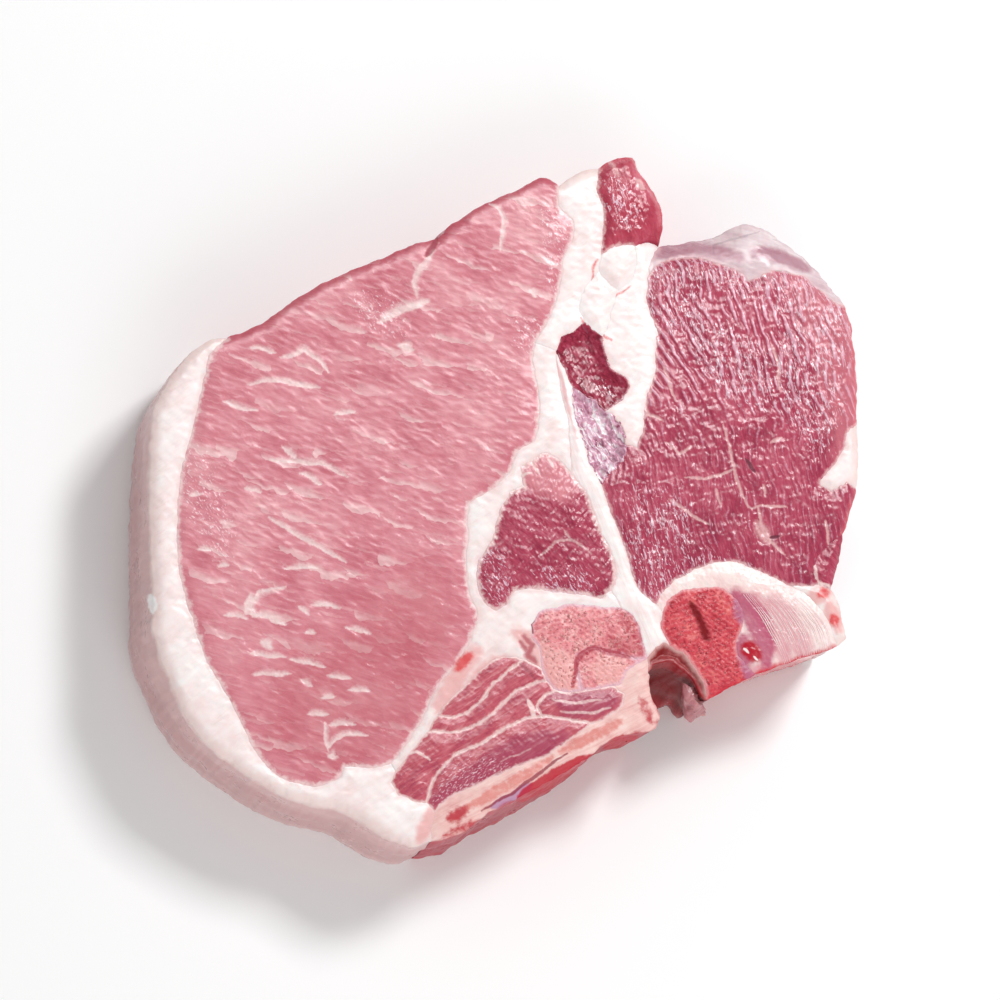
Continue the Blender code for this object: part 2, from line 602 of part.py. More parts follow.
def triangles_inside(loop: np.ndarray, extra: np.ndarray) -> list[list[int]]:
    """Triangles over a loop and the extra points inside it, counter-clockwise, by their places in both lists."""
    points = np.vstack([loop, extra])
    count = len(loop)
    edges = [(i, (i + 1) % count) for i in range(count)]
    _, _, found, sources, _, _ = delaunay_2d_cdt([tuple(p) for p in points], edges, [], 0, MERGE_DISTANCE, True)
    faces = np.array([[sources[i][0] for i in face] for face in found])
    ahead = np.roll(faces, -1, axis=1)
    on_loop = (faces < count) & (ahead < count)
    keeps_side = (on_loop & (ahead == (faces + 1) % count)).any(axis=1)
    turns_side = (on_loop & (faces == (ahead + 1) % count)).any(axis=1)
    wanted = keeps_side | (inside(points[faces].mean(axis=1), loop) & ~turns_side)
    return faces[wanted].tolist()


def slab(
    name: str,
    columns: list[list[np.ndarray]],
    foot: list[list[int]],
    top: list[list[int]],
    crown: list[np.ndarray],
) -> bpy.types.Object:
    """A closed mesh from upright columns of points round it, a foot, and a top with more points of its own."""
    work = bmesh.new()
    posts = [[work.verts.new(np.array(point) * MM) for point in column] for column in columns]
    upper = [post[-1] for post in posts] + [work.verts.new(np.array(point) * MM) for point in crown]
    for face in foot:
        work.faces.new([posts[i][0] for i in reversed(face)])
    for face in top:
        work.faces.new([upper[i] for i in face])
    for post, after in zip(posts, posts[1:] + posts[:1]):
        if len(post) == len(after):
            for low, high, next_high, next_low in zip(post, post[1:], after[1:], after):
                work.faces.new((low, next_low, next_high))
                work.faces.new((low, next_high, high))
        elif len(post) > len(after):
            for low, high in zip(post, post[1:]):
                work.faces.new((low, after[0], high))
            work.faces.new((post[-1], after[0], after[-1]))
        else:
            for low, high in zip(after, after[1:]):
                work.faces.new((post[0], low, high))
            work.faces.new((post[0], after[-1], post[-1]))
    mesh = bpy.data.meshes.new(name)
    work.to_mesh(mesh)
    work.free()
    obj = bpy.data.objects.new(name, mesh)
    bpy.context.collection.objects.link(obj)
    return obj


def build_piece(steak: Steak, name: str, piece: Piece) -> None:
    """Builds one slab of the steak as its own object."""
    loop, side_on_rim = steak.outline(piece)
    at_rim = side_on_rim | np.roll(side_on_rim, 1)
    gaps = np.where(side_on_rim, 0.0, SEAM_GAP / 2)
    levels = []
    for height_share, swell_share in WALL_PROFILE:
        level = inset(steak.moved(loop, at_rim, height_share, swell_share), gaps)
        levels.append(np.column_stack([level, height_share * steak.height(loop)]))
    columns = [
        [level[i] for level in (levels if at_rim[i] else (levels[0], levels[-1]))] for i in range(len(loop))
    ]
    foot_loop, top_loop = levels[0][:, :2], levels[-1][:, :2]
    ahead = np.roll(top_loop, -1, axis=0)
    area = (top_loop[:, 0] * ahead[:, 1] - top_loop[:, 1] * ahead[:, 0]).sum() / 2
    spacing = FINE_RELIEF_SPACING if area < SMALL_PIECE_AREA else RELIEF_SPACING
    relief = np.vstack([ring_points(top_loop, RIDGE_INSET), relief_points(top_loop, spacing).reshape(-1, 2)])
    depth = distance_to_loop(relief, top_loop)
    lift = steak.height(relief) + piece.crown * (1 - np.exp(-depth / CROWN_REACH))
    centre = np.array([*MAP_CENTRE, 0.0])
    obj = slab(
        name,
        [[point - centre for point in column] for column in columns],
        triangles_inside(foot_loop, np.empty((0, 2))),
        triangles_inside(top_loop, relief),
        [point - centre for point in np.column_stack([relief, lift])],
    )
    add_material(obj, piece.colour, piece.roughness)


def build_scrap() -> None:
    """Builds the scrap that hangs in the canal's mouth."""
    centre = np.array([*MAP_CENTRE, 0.0])
    levels = [[np.array([x, y, height]) - centre for x, y in loop] for height, loop in SCRAP_LOOPS]
    foot, top = (triangles_inside(np.array(level)[:, :2], np.empty((0, 2))) for level in (levels[0], levels[-1]))
    add_material(slab("canal_scrap", list(zip(*levels)), foot, top, []), SCRAP_COLOUR, SCRAP_ROUGHNESS)


def main() -> None:
    """Builds every piece."""
    clear_scene()
    steak = Steak()
    for name, piece in PIECES.items():
        build_piece(steak, name, piece)
    build_scrap()


main()
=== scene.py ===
"""Looks of a raw bone-in loin steak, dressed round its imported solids.

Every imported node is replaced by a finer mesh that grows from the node's own outline.
Lengths are in millimetres until a mesh is written. Marks that were read off the
photograph are pixel pairs, and PhotoView lays them on the cut face.
"""

import logging
import math
from collections.abc import Sequence
from dataclasses import dataclass, field
from enum import Enum, StrEnum

import bpy
import numpy as np
from mathutils import Matrix, Vector
from mathutils.geometry import delaunay_2d_cdt


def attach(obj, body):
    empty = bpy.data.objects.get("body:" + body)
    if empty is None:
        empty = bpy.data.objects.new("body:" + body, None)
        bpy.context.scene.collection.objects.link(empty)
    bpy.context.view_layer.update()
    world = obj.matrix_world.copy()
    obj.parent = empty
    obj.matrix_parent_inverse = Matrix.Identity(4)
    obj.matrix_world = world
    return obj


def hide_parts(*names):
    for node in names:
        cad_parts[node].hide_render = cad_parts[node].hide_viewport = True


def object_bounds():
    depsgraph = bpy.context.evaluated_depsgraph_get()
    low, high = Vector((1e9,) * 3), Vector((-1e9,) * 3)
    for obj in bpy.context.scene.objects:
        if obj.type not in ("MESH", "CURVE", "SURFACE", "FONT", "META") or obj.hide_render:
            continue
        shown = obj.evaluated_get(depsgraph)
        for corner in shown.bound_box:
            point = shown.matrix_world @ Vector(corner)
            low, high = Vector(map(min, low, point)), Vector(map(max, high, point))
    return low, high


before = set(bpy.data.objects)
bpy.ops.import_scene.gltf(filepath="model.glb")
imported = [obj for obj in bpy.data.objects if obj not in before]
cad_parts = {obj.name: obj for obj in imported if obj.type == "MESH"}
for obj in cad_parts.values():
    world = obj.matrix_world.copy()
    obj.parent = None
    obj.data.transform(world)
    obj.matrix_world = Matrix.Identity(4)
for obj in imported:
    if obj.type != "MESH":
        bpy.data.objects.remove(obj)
CAD_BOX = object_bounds()

LOG = logging.getLogger("steak")
MM = 0.001
CAD_TOP = CAD_BOX[1][2] / MM
BODY = "root"
Array = np.ndarray
Piece = bpy.types.Object
Material = bpy.types.Material
Socket = bpy.types.NodeSocket

THICKNESS = 24.0
SEAM_GAP = 0.3
WAVE_HEIGHT = 0.35
WAVE_LENGTHS = (95.0, 70.0)
MAP_CENTRE = np.array([2.9, 1.5])
WALL_SHARES = np.array([0.0, 0.07, 0.25, 0.5, 0.75, 0.93, 1.0])

# No top vertex of a solid is lower than the first, and no wall bulges more than the second.
LOWEST_TOP = 17.0
WALL_REACH = 3.4
READ_ERROR = 0.003
# A wall's next vertex down is looked for where this share of its slope leads, as far round as the pair says:
# in mm at once, and in mm more for a drop of the whole height.
WALL_DRIFT = 0.7
WALL_SEARCH = (1.2, 2.5)

# A piece runs this far under its neighbour, so that no gap opens between the two.
OVERLAP = 0.22
DIVE_SLOPE = 0.8
# Two sides that turn by less than the sine count as straight, and a corner moves out by no more than so many overlaps.
STRAIGHT_TURN = 0.3
CORNER_REACH = 1.5
SHARP_CORNER = math.cos(math.radians(42))

CROWN_REACH = 1.6
CROWN_POWER = 1.6
CREASE_REACH = 0.5
SLIT_DEPTH = 0.15
TOP_MARGIN = 0.02
# Depth and reach of the crease along a seam in the back face, and of the groove where a seam comes out of a wall.
FOOT_CREASE = (0.2, 0.45)
WALL_GROOVE = (0.16, 0.5)
# The fewest and the most points in a wall's column.
WALL_ROWS = (8, 26)

COARSE = 1.0
# Only points this near to an outline are measured against all of it. The other two are shares of the spacing.
NEAR_EDGE = 0.9
EDGE_CLEARANCE = 0.55
UNEVENNESS = 0.16

# The distance that stands for nothing near, and how many points are measured at once.
FAR = 99.0
BLOCK = 20000

# Height and length in mm of the waves that every seam wanders in.
SEAM_WAVES = ((0.13, 5.0), (0.07, 1.9))


def linear(hex_colour: str) -> tuple[float, float, float, float]:
    """Turns an sRGB hex colour into the linear colour that a shader takes.

    Args:
        hex_colour: six hex digits.

    Returns:
        Red, green, blue and full cover.
    """
    channels = [int(hex_colour[i : i + 2], 16) / 255 for i in (0, 2, 4)]
    red, green, blue = (c / 12.92 if c <= 0.04045 else ((c + 0.055) / 1.055) ** 2.4 for c in channels)
    return red, green, blue, 1.0


def ripple(points: Array, wavelength: float, seed: int, waves: int = 9) -> Array:
    """Smooth unevenness, about -1 to 1, as a sum of waves in many directions.

    Args:
        points: places, one row each, in two or three dimensions.
        wavelength: the middle length of the waves.
        seed: picks the directions and phases.
        waves: how many waves are added up.

    Returns:
        One value for each point.
    """
    random = np.random.default_rng(seed)
    total = np.zeros(len(points))
    for _ in range(waves):
        direction = random.normal(size=points.shape[1])
        direction /= np.linalg.norm(direction)
        length = wavelength * random.uniform(0.65, 1.45)
        total += np.sin(points @ direction * (2 * math.pi / length) + random.uniform(0, 2 * math.pi))
    return total / math.sqrt(waves / 2) * 0.6


def bumps(points: Array, waves: Sequence[tuple[float, float, int]]) -> Array:
    """Adds up ripples, each of a height, a length and a seed."""
    return sum((height * ripple(points, length, seed) for height, length, seed in waves), np.zeros(len(points)))


def smooth_step(values: Array, low: float, high: float) -> Array:
    """Runs from 0 at low to 1 at high with soft ends; low may be the larger."""
    share = np.clip((values - low) / (high - low), 0, 1)
    return share * share * (3 - 2 * share)


def ahead_of(loop: Array) -> Array:
    """Each point's next one round a loop."""
    return np.roll(loop, -1, axis=0)


def outward_of(along: Array) -> Array:
    """Unit directions out of a counter-clockwise loop, from those that run along it."""
    outward = np.column_stack([along[:, 1], -along[:, 0]])
    return outward / np.maximum(np.linalg.norm(outward, axis=1), 1e-6)[:, None]


def distance_to_sides(points: Array, starts: Array, ends: Array) -> Array:
    """How far each point is from the nearest of some straight sides.

    Args:
        points: the places to measure from.
        starts: where each side starts.
        ends: where it ends.

    Returns:
        One distance for each point.
    """
    if not len(starts):
        return np.full(len(points), FAR)
    sides = ends - starts
    lengths = np.maximum((sides * sides).sum(-1), 1e-9)
    nearest = np.empty(len(points))
    for first in range(0, len(points), BLOCK):
        offset = points[first : first + BLOCK, None] - starts[None]
        share = np.clip((offset * sides).sum(-1) / lengths, 0, 1)
        gap = offset - share[..., None] * sides
        nearest[first : first + BLOCK] = np.sqrt((gap * gap).sum(-1).min(axis=1))
    return nearest


def inside(points: Array, loop: Array) -> Array:
    """Whether each point is inside a loop, by counting crossings.

    Args:
        points: the places to test.
        loop: the loop's points in order.

    Returns:
        True or False for each point.
    """
    (ax, ay), (bx, by) = loop.T, ahead_of(loop).T
    slope = (bx - ax) / np.where(by == ay, 1, by - ay)
    found = np.empty(len(points), bool)
    for first in range(0, len(points), BLOCK):
        x, y = (points[first : first + BLOCK, axis][:, None] for axis in (0, 1))
        crosses = ((ay > y) != (by > y)) & (x < ax + (y - ay) * slope)
        found[first : first + BLOCK] = crosses.sum(axis=1) % 2 == 1
    return found


def ragged(points: Array) -> Array:
    """Wanders points a little over the plan, all pieces alike, so that seams stay shut but aren't smooth."""
    plan = points[:, :2]
    wander = [bumps(plan, [(*wave, seed + i) for i, wave in enumerate(SEAM_WAVES)]) for seed in (91, 95)]
    return np.column_stack([plan + np.transpose(wander), points[:, 2:]])


@dataclass(frozen=True)
class PhotoView:
    """Where the photograph was taken from. It places the camera, and marks read off the picture."""

    tilt: float = math.radians(18.7)
    lean: tuple[float, float] = (-0.68, -0.73)
    distance: float = 900.0
    width: float = 210.0
    picture_side: float = 1000.0
    sensor: float = 36.0
    target: tuple[float, float, float] = (-2.9, -1.5, 24.0)

    def axes(self) -> Array:
        """The camera's right, up and back directions, one row each."""
        x, y = np.array(self.lean) / np.linalg.norm(self.lean) * math.sin(self.tilt)
        z = math.cos(self.tilt)
        about = np.cross([0.0, 0.0, 1.0], [x, y, z])
        turn = Matrix.Rotation(self.tilt, 3, about / np.linalg.norm(about))
        return np.array(turn).T

    def eye(self) -> Array:
        """The camera's place."""
        return np.array(self.target) + self.distance * self.axes()[2]

    def meet_face(self, rays: Array) -> Array:
        """Where rays from the camera meet the cut face's plane."""
        reach = (THICKNESS - self.eye()[2]) / rays[:, 2:]
        return (self.eye() + reach * rays)[:, :2]

    def line(self, pixels: str) -> Array:
        """A line on the cut face that was read off the photograph.

        Args:
            pixels: its points in the picture, x to the right and y down, as pairs apart by blanks.

        Returns:
            One (x, y) for each, in the frame's millimetres.
        """
        right, up, back = self.axes()
        places = np.array([pair.split(",") for pair in pixels.split()], float)
        offset = (places - self.picture_side / 2) * self.width / self.distance / self.picture_side
        return self.meet_face(offset[:, :1] * right - offset[:, 1:] * up - back)

    def through(self, points: Array) -> Array:
        """Where the lines of sight through some points meet the cut face's plane."""
        return self.meet_face(points - self.eye())

    def add_camera(self) -> None:
        """Adds the scene's camera, with everything in focus."""
        lens = bpy.data.cameras.new("camera")
        lens.sensor_width = self.sensor
        lens.lens = self.sensor * self.distance / self.width
        lens.clip_start, lens.clip_end = 0.01, 10.0
        camera = bpy.data.objects.new("camera", lens)
        turned = Matrix(self.axes().T.tolist()).to_4x4()
        camera.matrix_world = Matrix.Translation(self.eye() * MM) @ turned
        bpy.context.scene.collection.objects.link(camera)
        bpy.context.scene.camera = camera


VIEW = PhotoView()


class Paint(StrEnum):
    """The masks that a mesh carries for its material, each a named attribute. A finish says what each one paints."""

    FAT = "fat_mark"
    BLOOD = "blood_mark"
    SHADE = "shade_mark"
    TINT = "tint_mark"
    # Where the surface is glossy; it also places the painted highlights on the fibres' crests.
    GLOSS = "gloss_mark"


FAT, BLOOD, SHADE, TINT, GLOSS = Paint


@dataclass(frozen=True)
class Marks:
    """Strokes of one kind on the cut face: photo pixels, strokes apart by semicolons, and sizes in mm.

    Soft is how far a stroke's edge fades, and one_sided how much further it fades on its left-hand side.
    """

    paint: Paint
    strokes: str
    width: float
    soft: float
    strength: float
    one_sided: float = 0.0

    def brush(self, points: Array, line: Array) -> tuple[Array, Array]:
        """One stroke, tapered if it is longer than 1 mm.

        Args:
            points: places to paint.
            line: the stroke's points.

        Returns:
            The rows of the places that it may reach, and its strength from 0 to 1 at each.
        """
        reach = self.width / 2 + self.soft + self.one_sided
        low, high = line.min(axis=0) - reach, line.max(axis=0) + reach
        near = np.flatnonzero((points > low).all(axis=1) & (points < high).all(axis=1))
        if not len(near):
            return near, np.empty(0)
        starts, sides = line[:-1], np.diff(line, axis=0)
        lengths = np.maximum(np.linalg.norm(sides, axis=1), 1e-6)
        begun = np.concatenate([[0.0], np.cumsum(lengths)[:-1]])
        offset = points[near][:, None] - starts[None]
        share = np.clip((offset * sides).sum(-1) / lengths**2, 0, 1)
        gap = offset - share[..., None] * sides
        away = np.linalg.norm(gap, axis=-1)
        best = away.argmin(axis=1)
        rows = np.arange(len(near))
        along = (begun[best] + share[rows, best] * lengths[best]) / lengths.sum()
        blunt = 0.06 if lengths.sum() > 1 else 1.0
        taper = np.sqrt(np.clip(4 * along * (1 - along), blunt, 1))
        side = sides[best, 0] * gap[rows, best, 1] - sides[best, 1] * gap[rows, best, 0]
        fade = self.soft + np.where(side > 0, self.one_sided, 0.0) * taper
        return near, np.clip(1 - (away[rows, best] - self.width / 2 * taper) / fade, 0, 1)

    def lay(self, points: Array, mask: Array) -> None:
        """Lays the strokes on a mask that has one value for each point."""
        for stroke in self.strokes.split(";"):
            near, strength = self.brush(points, VIEW.line(stroke))
            mask[near] = np.maximum(mask[near], strength * self.strength)


@dataclass
class Outline:
    """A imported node's outline: upright columns of points round it, from the foot up, and which stand on the rim."""

    columns: Array
    on_rim: Array

    @property
    def top(self) -> Array:
        """The outline's loop on the cut face."""
        return self.columns[:, -1, :2]

    def sides(self, rim: bool) -> tuple[Array, Array]:
        """Starts and ends of the sides that lie on the rim, or of those that don't."""
        chosen = (self.on_rim & ahead_of(self.on_rim)) == rim
        return self.top[chosen], ahead_of(self.top)[chosen]


def edge_loop(faces: Array) -> list[int]:
    """The border of a patch of triangles, in their own direction.

    Args:
        faces: three corners' places for each triangle.

    Returns:
        The border's corners in order.
    """
    edges = {(int(face[i]), int(face[(i + 1) % 3])) for face in faces for i in range(3)}
    follow = {a: b for a, b in edges if (b, a) not in edges}
    loop = [min(follow)]
    while follow[loop[-1]] != loop[0]:
        loop.append(follow[loop[-1]])
    return loop


def read_outline(name: str) -> Outline:
    """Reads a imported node's outline off its own mesh.

    The solid's wall has a vertex at each of the wall's shares of the face's height, unless
    the wall is plane there, and only a column on the rim has any between foot and top.

    Args:
        name: the node.

    Returns:
        Its outline.
    """
    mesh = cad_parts[name].data
    mesh.calc_loop_triangles()
    raw = np.array([vertex.co for vertex in mesh.vertices]) / MM
    points, index = np.unique(raw.round(3), axis=0, return_inverse=True)
    faces = index.reshape(-1)[np.array([triangle.vertices for triangle in mesh.loop_triangles])]
    away = np.linalg.norm(points[:, None, :2] - points[None, :, :2], axis=-1)
    height = points[:, 2]
    below_top = ((away < WALL_REACH) & (np.abs(height[:, None] - WALL_SHARES[-2] * height) < READ_ERROR)).any(axis=1)
    is_upper = (height > LOWEST_TOP) & ~below_top
    top_faces = faces[is_upper[faces].all(axis=1)]
    corners = points[top_faces]
    upward = np.cross(corners[:, 1] - corners[:, 0], corners[:, 2] - corners[:, 0])[:, 2] > 0
    top_faces = top_faces[upward]
    foot = np.flatnonzero(height < READ_ERROR)
    between = np.setdiff1d(np.arange(len(points)), np.concatenate([top_faces.ravel(), foot]))
    columns, on_rim = [], []
    for upper in edge_loop(top_faces):
        found, last, drift = {1.0: points[upper]}, 1.0, np.zeros(2)
        for share in WALL_SHARES[-2:0:-1]:
            level = between[np.abs(height[between] - share * height[upper]) < READ_ERROR]
            expected = found[last][:2] + WALL_DRIFT * drift * (last - share)
            gaps = np.linalg.norm(points[level, :2] - expected, axis=1)
            if len(level) and gaps.min() < WALL_SEARCH[0] + WALL_SEARCH[1] * (last - share):
                found[share] = points[level[gaps.argmin()]]
                drift = (found[share] - found[last])[:2] / (last - share)
                last = share
        on_rim.append(len(found) > 1)
        lowest = found[last][:2] + WALL_DRIFT * drift * last
        own_foot = points[foot[np.linalg.norm(points[foot, :2] - lowest, axis=1).argmin()]]
        found[0.0] = own_foot if on_rim[-1] else points[upper] * (1, 1, 0)
        shares = sorted(found)
        known = np.array([found[share] for share in shares])
        columns.append(np.column_stack([np.interp(WALL_SHARES, shares, values) for values in known.T]))
    return Outline(np.array(columns), np.array(on_rim))


def refined(columns: Array, on_rim: Array, spacing: float) -> tuple[Array, Array]:
    """Adds columns on smooth curves between an outline's own, and keeps its sharp corners.

    Args:
        columns: the outline's columns.
        on_rim: which of them stand on the rim.
        spacing: the wanted distance between columns.

    Returns:
        The finer columns, and for each 1 on the rim, 0 off it, and a share between on a side that leaves it.
    """
    ahead, behind = ahead_of(columns), np.roll(columns, 1, axis=0)
    out, back = ahead - columns, columns - behind
    out_length = np.maximum(np.linalg.norm(out[:, -1, :2], axis=1), 1e-6)
    back_length = np.roll(out_length, 1)
    unit_out, unit_back = out[:, -1, :2] / out_length[:, None], back[:, -1, :2] / back_length[:, None]
    sharp = ((unit_out * unit_back).sum(axis=1) < SHARP_CORNER)[:, None, None]
    through = (ahead - behind) / (out_length + back_length)[:, None, None]
    leaving = np.where(sharp, out / out_length[:, None, None], through)
    coming = np.where(sharp, back / back_length[:, None, None], through)
    fine, nearness = [], []
    for i, length in enumerate(out_length):
        j = (i + 1) % len(columns)
        for t in np.linspace(0, 1, max(1, math.ceil(length / spacing)), endpoint=False):
            start, rise, end, fall = 2 * t**3 - 3 * t**2 + 1, t**3 - 2 * t**2 + t, 3 * t**2 - 2 * t**3, t**3 - t**2
            from_here = columns[i] * start + leaving[i] * length * rise
            fine.append(from_here + columns[j] * end + coming[j] * length * fall)
            nearness.append((1 - t) * on_rim[i] + t * on_rim[j])
    return np.array(fine), np.array(nearness)


def grown(outline: Outline) -> Outline:
    """The outline with its shared sides moved out over the seams, to run under the neighbours.

    Args:
        outline: the node's own.

    Returns:
        The larger one.
    """
    outward = outward_of(ahead_of(outline.top) - outline.top)
    amount = np.where(outline.on_rim & ahead_of(outline.on_rim), 0.0, SEAM_GAP / 2 + OVERLAP)
    before, before_amount = np.roll(outward, 1, axis=0), np.roll(amount, 1)
    turn = before[:, 0] * outward[:, 1] - before[:, 1] * outward[:, 0]
    straight = np.abs(turn) < STRAIGHT_TURN
    meeting = np.column_stack([
        before_amount * outward[:, 1] - amount * before[:, 1],
        amount * before[:, 0] - before_amount * outward[:, 0],
    ]) / np.where(straight, 1.0, turn)[:, None]
    average = (before * before_amount[:, None] + outward * amount[:, None]) / 2
    shift = np.where(straight[:, None], average, meeting)
    length = np.maximum(np.linalg.norm(shift, axis=1), 1e-6)
    shift *= np.minimum(1.0, CORNER_REACH * (SEAM_GAP / 2 + OVERLAP) / length)[:, None]
    columns = outline.columns.copy()
    columns[:, :, :2] += shift[:, None]
    return Outline(columns, outline.on_rim)


def triangles_inside(loop: Array, extra: Array) -> Array:
    """Triangles over a loop and the points inside it.

    Args:
        loop: the loop's points, counter-clockwise.
        extra: the points inside it.

    Returns:
        Three corners' places in both lists for each triangle, counter-clockwise.
    """
    points = np.vstack([loop, extra])
    count = len(loop)
    edges = [(i, (i + 1) % count) for i in range(count)]
    _, _, found, sources, _, _ = delaunay_2d_cdt([tuple(p) for p in points], edges, [], 0, 1e-6, True)
    faces = np.array([[sources[i][0] for i in face] for face in found])
    ahead = np.roll(faces, -1, axis=1)
    on_loop = (faces < count) & (ahead < count)
    keeps_side = (on_loop & (ahead == (faces + 1) % count)).any(axis=1)
    turns_side = (on_loop & (faces == (ahead + 1) % count)).any(axis=1)
    chosen = keeps_side | ((faces >= count).any(axis=1) & ~turns_side)
    doubtful = np.flatnonzero((faces < count).any(axis=1) & ~keeps_side)
    chosen[doubtful] = inside(points[faces[doubtful]].mean(axis=1), loop) & ~turns_side[doubtful]
    return faces[chosen]


def spread_points(loop: Array, rough: Array, spacing: float, seed: int) -> Array:
    """Staggered, slightly uneven rows of points inside a loop, clear of its edge.

    Args:
        loop: the loop's points.
        rough: the same loop with fewer points.
        spacing: the distance between the points.
        seed: picks their unevenness.

    Returns:
        The points.
    """
    low, high = loop.min(axis=0), loop.max(axis=0)
    rows = np.arange(low[1], high[1], spacing * math.sin(math.pi / 3))
    stagger = (np.arange(len(rows)) % 2)[:, None] * spacing / 2
    places = np.arange(low[0], high[0], spacing)[None, :] + stagger
    grid = np.stack(np.broadcast_arrays(places, rows[:, None]), -1).reshape(-1, 2)
    grid = grid + np.random.default_rng(seed).uniform(-UNEVENNESS, UNEVENNESS, grid.shape) * spacing
    grid = grid[inside(grid, rough) | (distance_to_sides(grid, rough, ahead_of(rough)) < NEAR_EDGE)]
    near = np.flatnonzero(distance_to_sides(grid, rough, ahead_of(rough)) < NEAR_EDGE)
    clear = distance_to_sides(grid[near], loop, ahead_of(loop)) > EDGE_CLEARANCE * spacing
    return np.delete(grid, near[~(clear & inside(grid[near], loop))], axis=0)


class Relief(Enum):
    """What kind of unevenness the knife and the tissue leave on a cut face."""

    LOIN = "loin"
    RIDGES = "ridges"
    GRAIN = "grain"
    STRANDS = "strands"
    FAT = "fat"
    SPONGE = "sponge"
    LAMELLAE = "lamellae"
    MEMBRANE = "membrane"
    CRUMPLED = "crumpled"


# Lumps that every face has, and the share of them that each kind has, if not all.
LUMPS = ((0.09, 7.0, 11), (0.05, 2.6, 12))
LUMP_SHARES = {Relief.STRANDS: 0.7, Relief.FAT: 0.55, Relief.SPONGE: 0.6, Relief.LAMELLAE: 0.5, Relief.MEMBRANE: 0.6}
# Bumps that lie in no direction: height and length in mm, and seed, as in the lumps.
BUMPS = {
    Relief.RIDGES: ((0.03, 1.0, 24),),
    Relief.GRAIN: ((0.06, 1.3, 31), (0.03, 0.8, 32)),
    Relief.STRANDS: ((0.02, 0.9, 42),),
    Relief.FAT: ((0.008, 1.3, 51),),
    Relief.SPONGE: ((0.04, 0.8, 62),),
    Relief.LAMELLAE: ((0.02, 0.9, 71),),
}


def across(points: Array, degrees: float) -> Array:
    """Distance across lines that run at an angle, counter-clockwise from +X."""
    angle = math.radians(degrees)
    return points[:, 1] * math.cos(angle) - points[:, 0] * math.sin(angle)


def combed(points: Array, degrees: float, squeeze: float, stretch: float) -> Array:
    """Points squeezed across an angle and stretched along it, so that a ripple over them runs that way."""
    return np.column_stack([across(points, degrees) * squeeze, across(points, degrees + 90) * stretch])


@dataclass
class CutFace:
    """The steak's cut face as a height over the plan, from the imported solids' own outlines."""

    outlines: dict[str, Outline] = field(default_factory=dict)
    rim_starts: Array = field(default_factory=lambda: np.empty((0, 2)))
    rim_ends: Array = field(default_factory=lambda: np.empty((0, 2)))
    rim_drops: Array = field(default_factory=lambda: np.empty(0))

    def read(self, names: Sequence[str]) -> None:
        """Reads the outlines, and gathers the rim's sides with the drop of its shoulder.

        Args:
            names: the nodes to read.
        """
        self.outlines = {name: read_outline(name) for name in names}
        starts, ends, drops = [], [], []
        for outline in self.outlines.values():
            chosen = outline.on_rim & ahead_of(outline.on_rim)
            starts.append(outline.top[chosen])
            ends.append(ahead_of(outline.top)[chosen])
            drops.append((self.waves(outline.top) - outline.columns[:, -1, 2])[chosen])
        self.rim_starts, self.rim_ends, self.rim_drops = np.vstack(starts), np.vstack(ends), np.concatenate(drops)

    @staticmethod
    def waves(points: Array) -> Array:
        """The face's height with its two long waves, as the solids have them.

        Args:
            points: places over the plan.

        Returns:
            One height for each.
        """
        x, y = (points + MAP_CENTRE).T
        step_x, step_y = (2 * math.pi / length for length in WAVE_LENGTHS)
        return THICKNESS + WAVE_HEIGHT * (np.sin(step_x * x + 0.6) + np.cos(step_y * y - 0.4 * step_y * x))

    def height(self, points: Array) -> Array:
        """The face's height, falling to the rim over its shoulder.

        Args:
            points: places over the plan.

        Returns:
            One height for each.
        """
        middles = (self.rim_starts + self.rim_ends) / 2
        height = self.waves(points)
        for first in range(0, len(points), BLOCK // 2):
            rows = slice(first, first + BLOCK // 2)
            away = np.linalg.norm(points[rows, None] - middles[None], axis=-1)
            weight = np.exp(-((away - away.min(axis=1)[:, None]) ** 2) / 4.0)
            drop = (weight * self.rim_drops).sum(axis=1) / weight.sum(axis=1)
            reach = distance_to_sides(points[rows], self.rim_starts, self.rim_ends)
            height[rows] -= drop * np.clip(1 - reach / (1 + 2 * np.maximum(drop, 0.1)), 0, 1) ** 2
        return height

    def distance_to(self, points: Array, names: Sequence[str]) -> Array:
        """How far each point is from the nearest outline of some pieces.

        Args:
            points: places over the plan.
            names: the pieces' nodes.

        Returns:
            One distance for each point.
        """
        loops = [self.outlines[name].top for name in names]
        found = [distance_to_sides(points, loop, ahead_of(loop)) for loop in loops]
        return np.min(found, axis=0) if found else np.full(len(points), FAR)


FACE = CutFace()

MUSCLES = ("loin_eye", "multifidus", "side_muscle_1", "side_muscle_2", "side_muscle_3", "side_muscle_4",
           "interspinal_muscle", "tenderloin", "flank_muscle", "dark_muscle_upper", "dark_muscle_lower")


@dataclass(frozen=True)
class Dressing:
    """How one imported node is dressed.

    The crown is how far the face stands up inside the seams, the crease how deep it is
    pinched along them, and fringe_from names the neighbours whose fat frays into this piece.
    """

    node: str
    slot: str
    finish: str
    relief: Relief
    crown: float
    fringe_from: tuple[str, ...] = ()
    marks: tuple[Marks, ...] = ()
    spacing: float = 0.27
    lumps: float = 1.0
    crease: float = 0.02


# The tenderloin's bundles: the angle that their ridges run at, in degrees, and how far apart they are, in mm, for
# those that stand steep, those that slant at the upper left, and the finer ones below.
BUNDLES = ((-77, 1.9), (-60, 1.8), (-82, 1.4))


